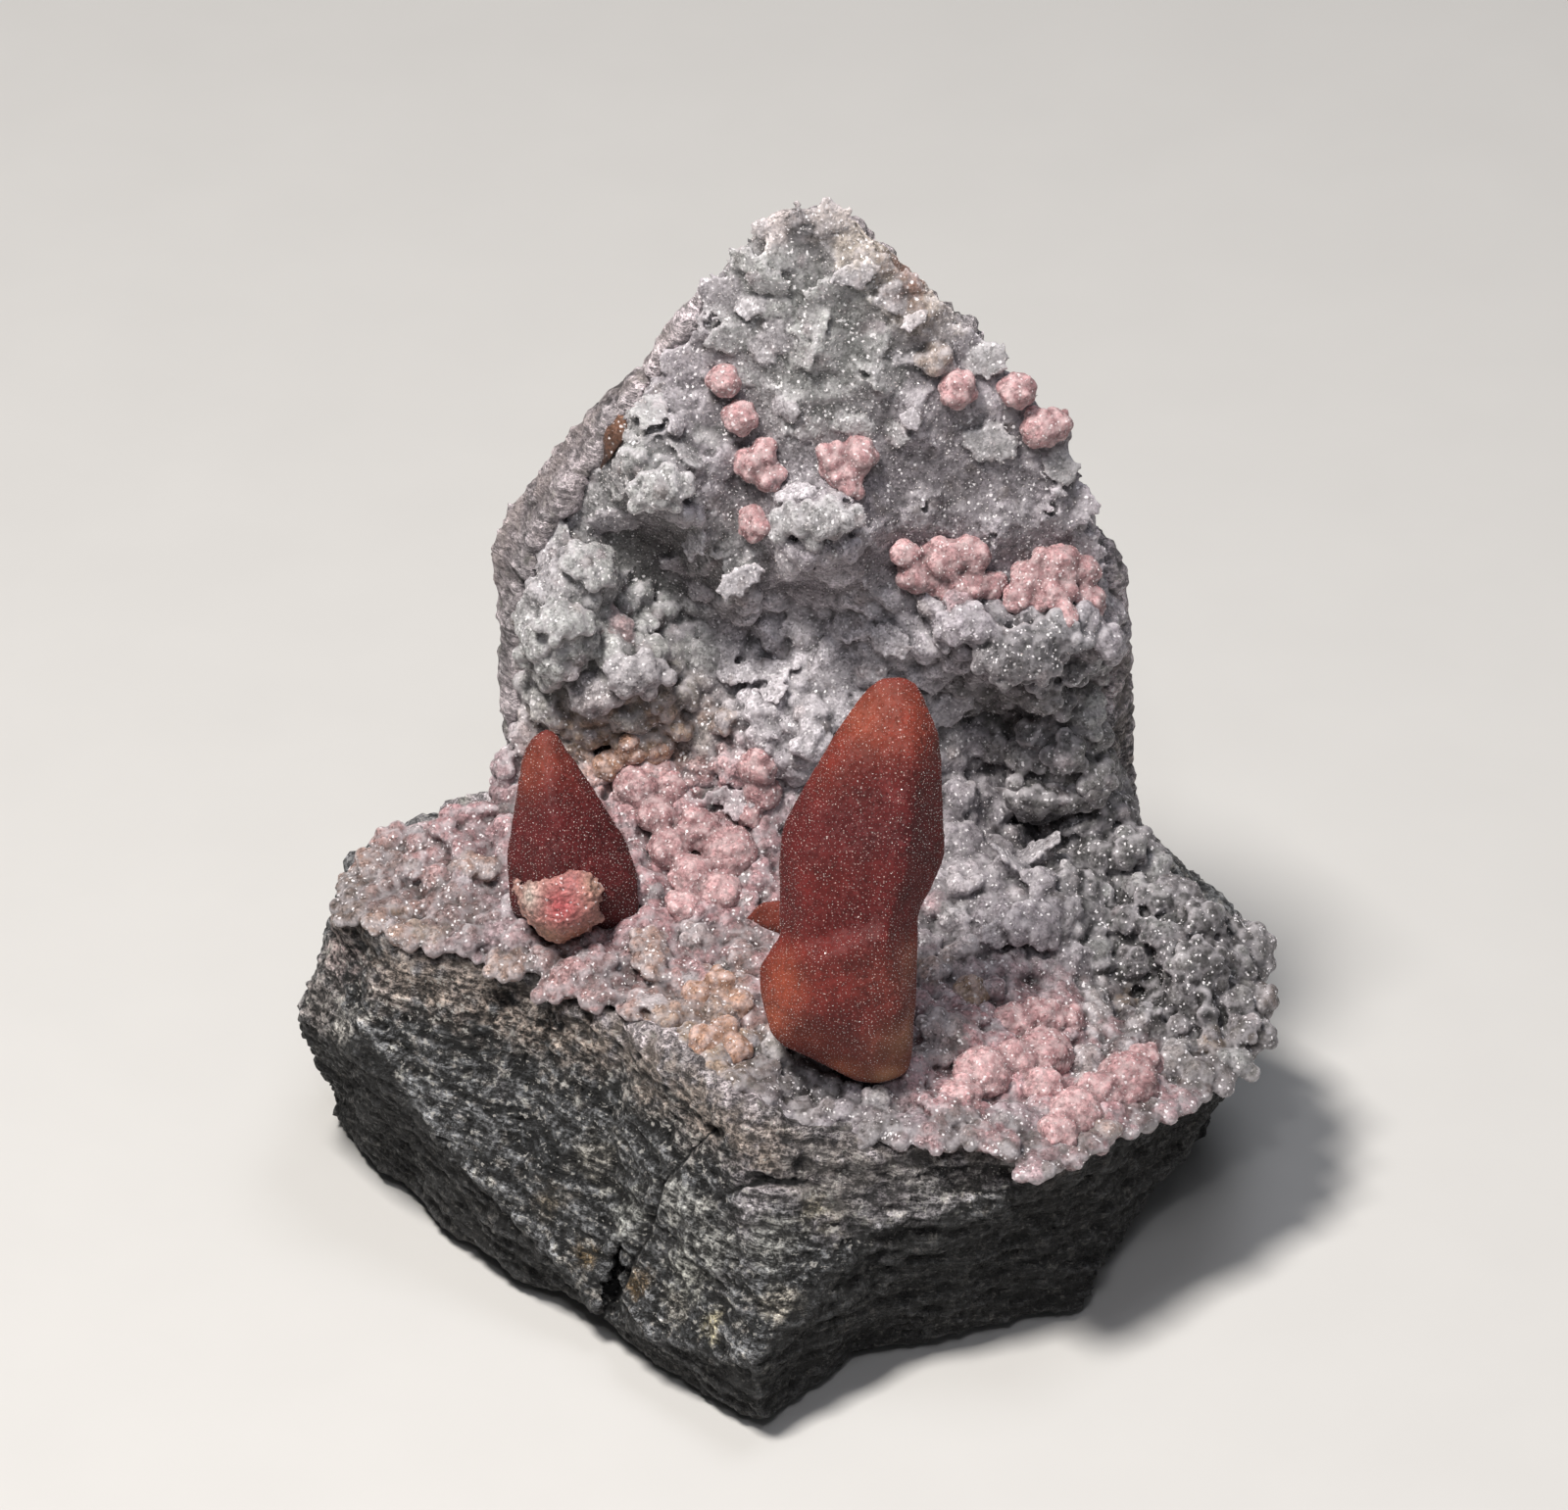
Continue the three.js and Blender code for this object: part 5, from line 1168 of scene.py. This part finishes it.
for name, node, spots, base, count in (
    ("tall_crystal", "tall_rhodochrosite_crystal", TALL_TINTS, "5a1818", 36000),
    ("short_crystal", "short_rhodochrosite_crystal", SHORT_TINTS, "501618", 15000),
):
    mesh = crystal(node, spots, base)
    grains = frost(facets_of(mesh), lambda p: np.array(0.22), (0.04, 0.11), count, 21)
    piece(name + "_frost", grains, [node], point_finish, smooth=False)
    piece(name + "_body", mesh, [node], red_finish)

# Pink rhodochrosite balls and lumps
# Knobbly growths of pale pink rhodochrosite, each a bunch of rounded lobes with a sugary skin, some
# stained tan or orange by iron.

GROWTH_VOXEL = 0.16
# The colours of a growth's lobes and of its darker back and bottom, by the first word of its node's name
GROWTHS = {
    "pink": ("bf9799", "8f696c"),
    "tan": ("a8907e", "7a6452"),
    "orange": ("b48f7c", "8a6650"),
}
BIG_LOBES, BIG_GAP = (0.55, 0.9), 1.0
SMALL_LOBES, SMALL_GAP = (0.3, 0.5), 0.55


def growth(node, colours, seed):
    """A bunch of lobes grown over a CAD solid, darker and redder towards its back and bottom, away from the
    viewer.
    """
    chances = np.random.default_rng(seed)
    facets = exposed(node, 0.7)
    big, big_up = scattered(facets, lambda p: np.array(BIG_GAP), 3000, seed)
    small, small_up = scattered(facets, lambda p: np.array(SMALL_GAP), 5000, seed + 1)
    places, ups = np.vstack([big, small]), np.vstack([big_up, small_up])
    sizes = [chances.uniform(*BIG_LOBES, len(big)), chances.uniform(*SMALL_LOBES, len(small))]
    sizes = np.concatenate(sizes)
    sunk = np.concatenate([np.full(len(big), 0.5), np.full(len(small), 0.35)])
    turns = []
    for up in ups + chances.normal(0, 0.2, ups.shape):
        facing = Vector(up).normalized()
        side = facing.orthogonal().normalized()
        turns.append(lobe(side, facing.cross(side), facing, 0.8))
    tops = places - ups * (sizes * sunk)[:, None]
    main, deep = (np.array(linear(colour)[:3]) for colour in colours)
    low = np.clip(1 - (tops - tops.mean(0)) @ -np.array(AWAY) / 1.5, 0, 1)[:, None]
    tints = (main + 0.5 * low * (deep - main)) * chances.uniform(0.88, 1.12, (len(tops), 1))
    return overgrown(mesh_of(solid(node)), (tops, np.array(turns), sizes), tints, GROWTH_VOXEL, 0.4)


# Sugary rhodochrosite: pale pink and waxy, with tiny cleavage faces that glint, some painted near-white,
# and pale rims of painted light
sugar_finish = sugared("rhodochrosite_sugary_pink", "e4d2d3", 0.00016, 0.0009, 0.4, 0.36)

grown, sugar = [], []
for index, node in enumerate(sorted(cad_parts)):
    kind = node.split("_")[0]
    if kind in GROWTHS:
        mesh = growth(node, GROWTHS[kind], 40 + index)
        grown.append(node)
        tries = len(mesh.polygons) // 10
        sugar.append(frost(facets_of(mesh), lambda p: np.array(0.3), (0.08, 0.18), tries, index))
        piece(node + "_lobes", mesh, [node], sugar_finish)
piece("growth_frost", together(*sugar), grown, point_finish, smooth=False)

# Broken crystal stub and brown edge crystal
# A third crystal broke off short, so its cleaved inside shows, pink in the middle and cream at the
# rim, with the ragged steps of the break. A small brown one stands at the left edge of the wall.

STUB_TINTS = [
    (572, 925, 1.9, "b4565a"), (590, 900, 1.3, "bb7272"), (540, 915, 1.0, "d6c6bc"),
    (605, 905, 1.0, "c09a88"), (585, 955, 1.3, "b0705a"), (560, 955, 1.1, "b48672"),
]
kept_sharp = {"glow": 0.0, "softened": 3}
mesh = crystal("broken_crystal_stub", STUB_TINTS, "bd9288", voxel=0.14, waves=0.06, grit=0.05, **kept_sharp)
points, normals, edges = arrays(mesh)
steps = np.abs(rough(bedded(points, 3), 1.3, 4, seed=12))
mesh = moved(mesh, points - normals * (0.35 * (1 - steps)[:, None] - 0.25))
piece("broken_stub_body", mesh, ["broken_crystal_stub"], sugar_finish)
brown = [(634, 425, 0.8, "8a6450"), (615, 470, 1.0, "64463a")]
mesh = crystal("brown_edge_crystal", brown, "6e4c3c", voxel=0.12, waves=0.04, **kept_sharp)
piece("brown_crystal_body", mesh, ["brown_edge_crystal"], sugar_finish)
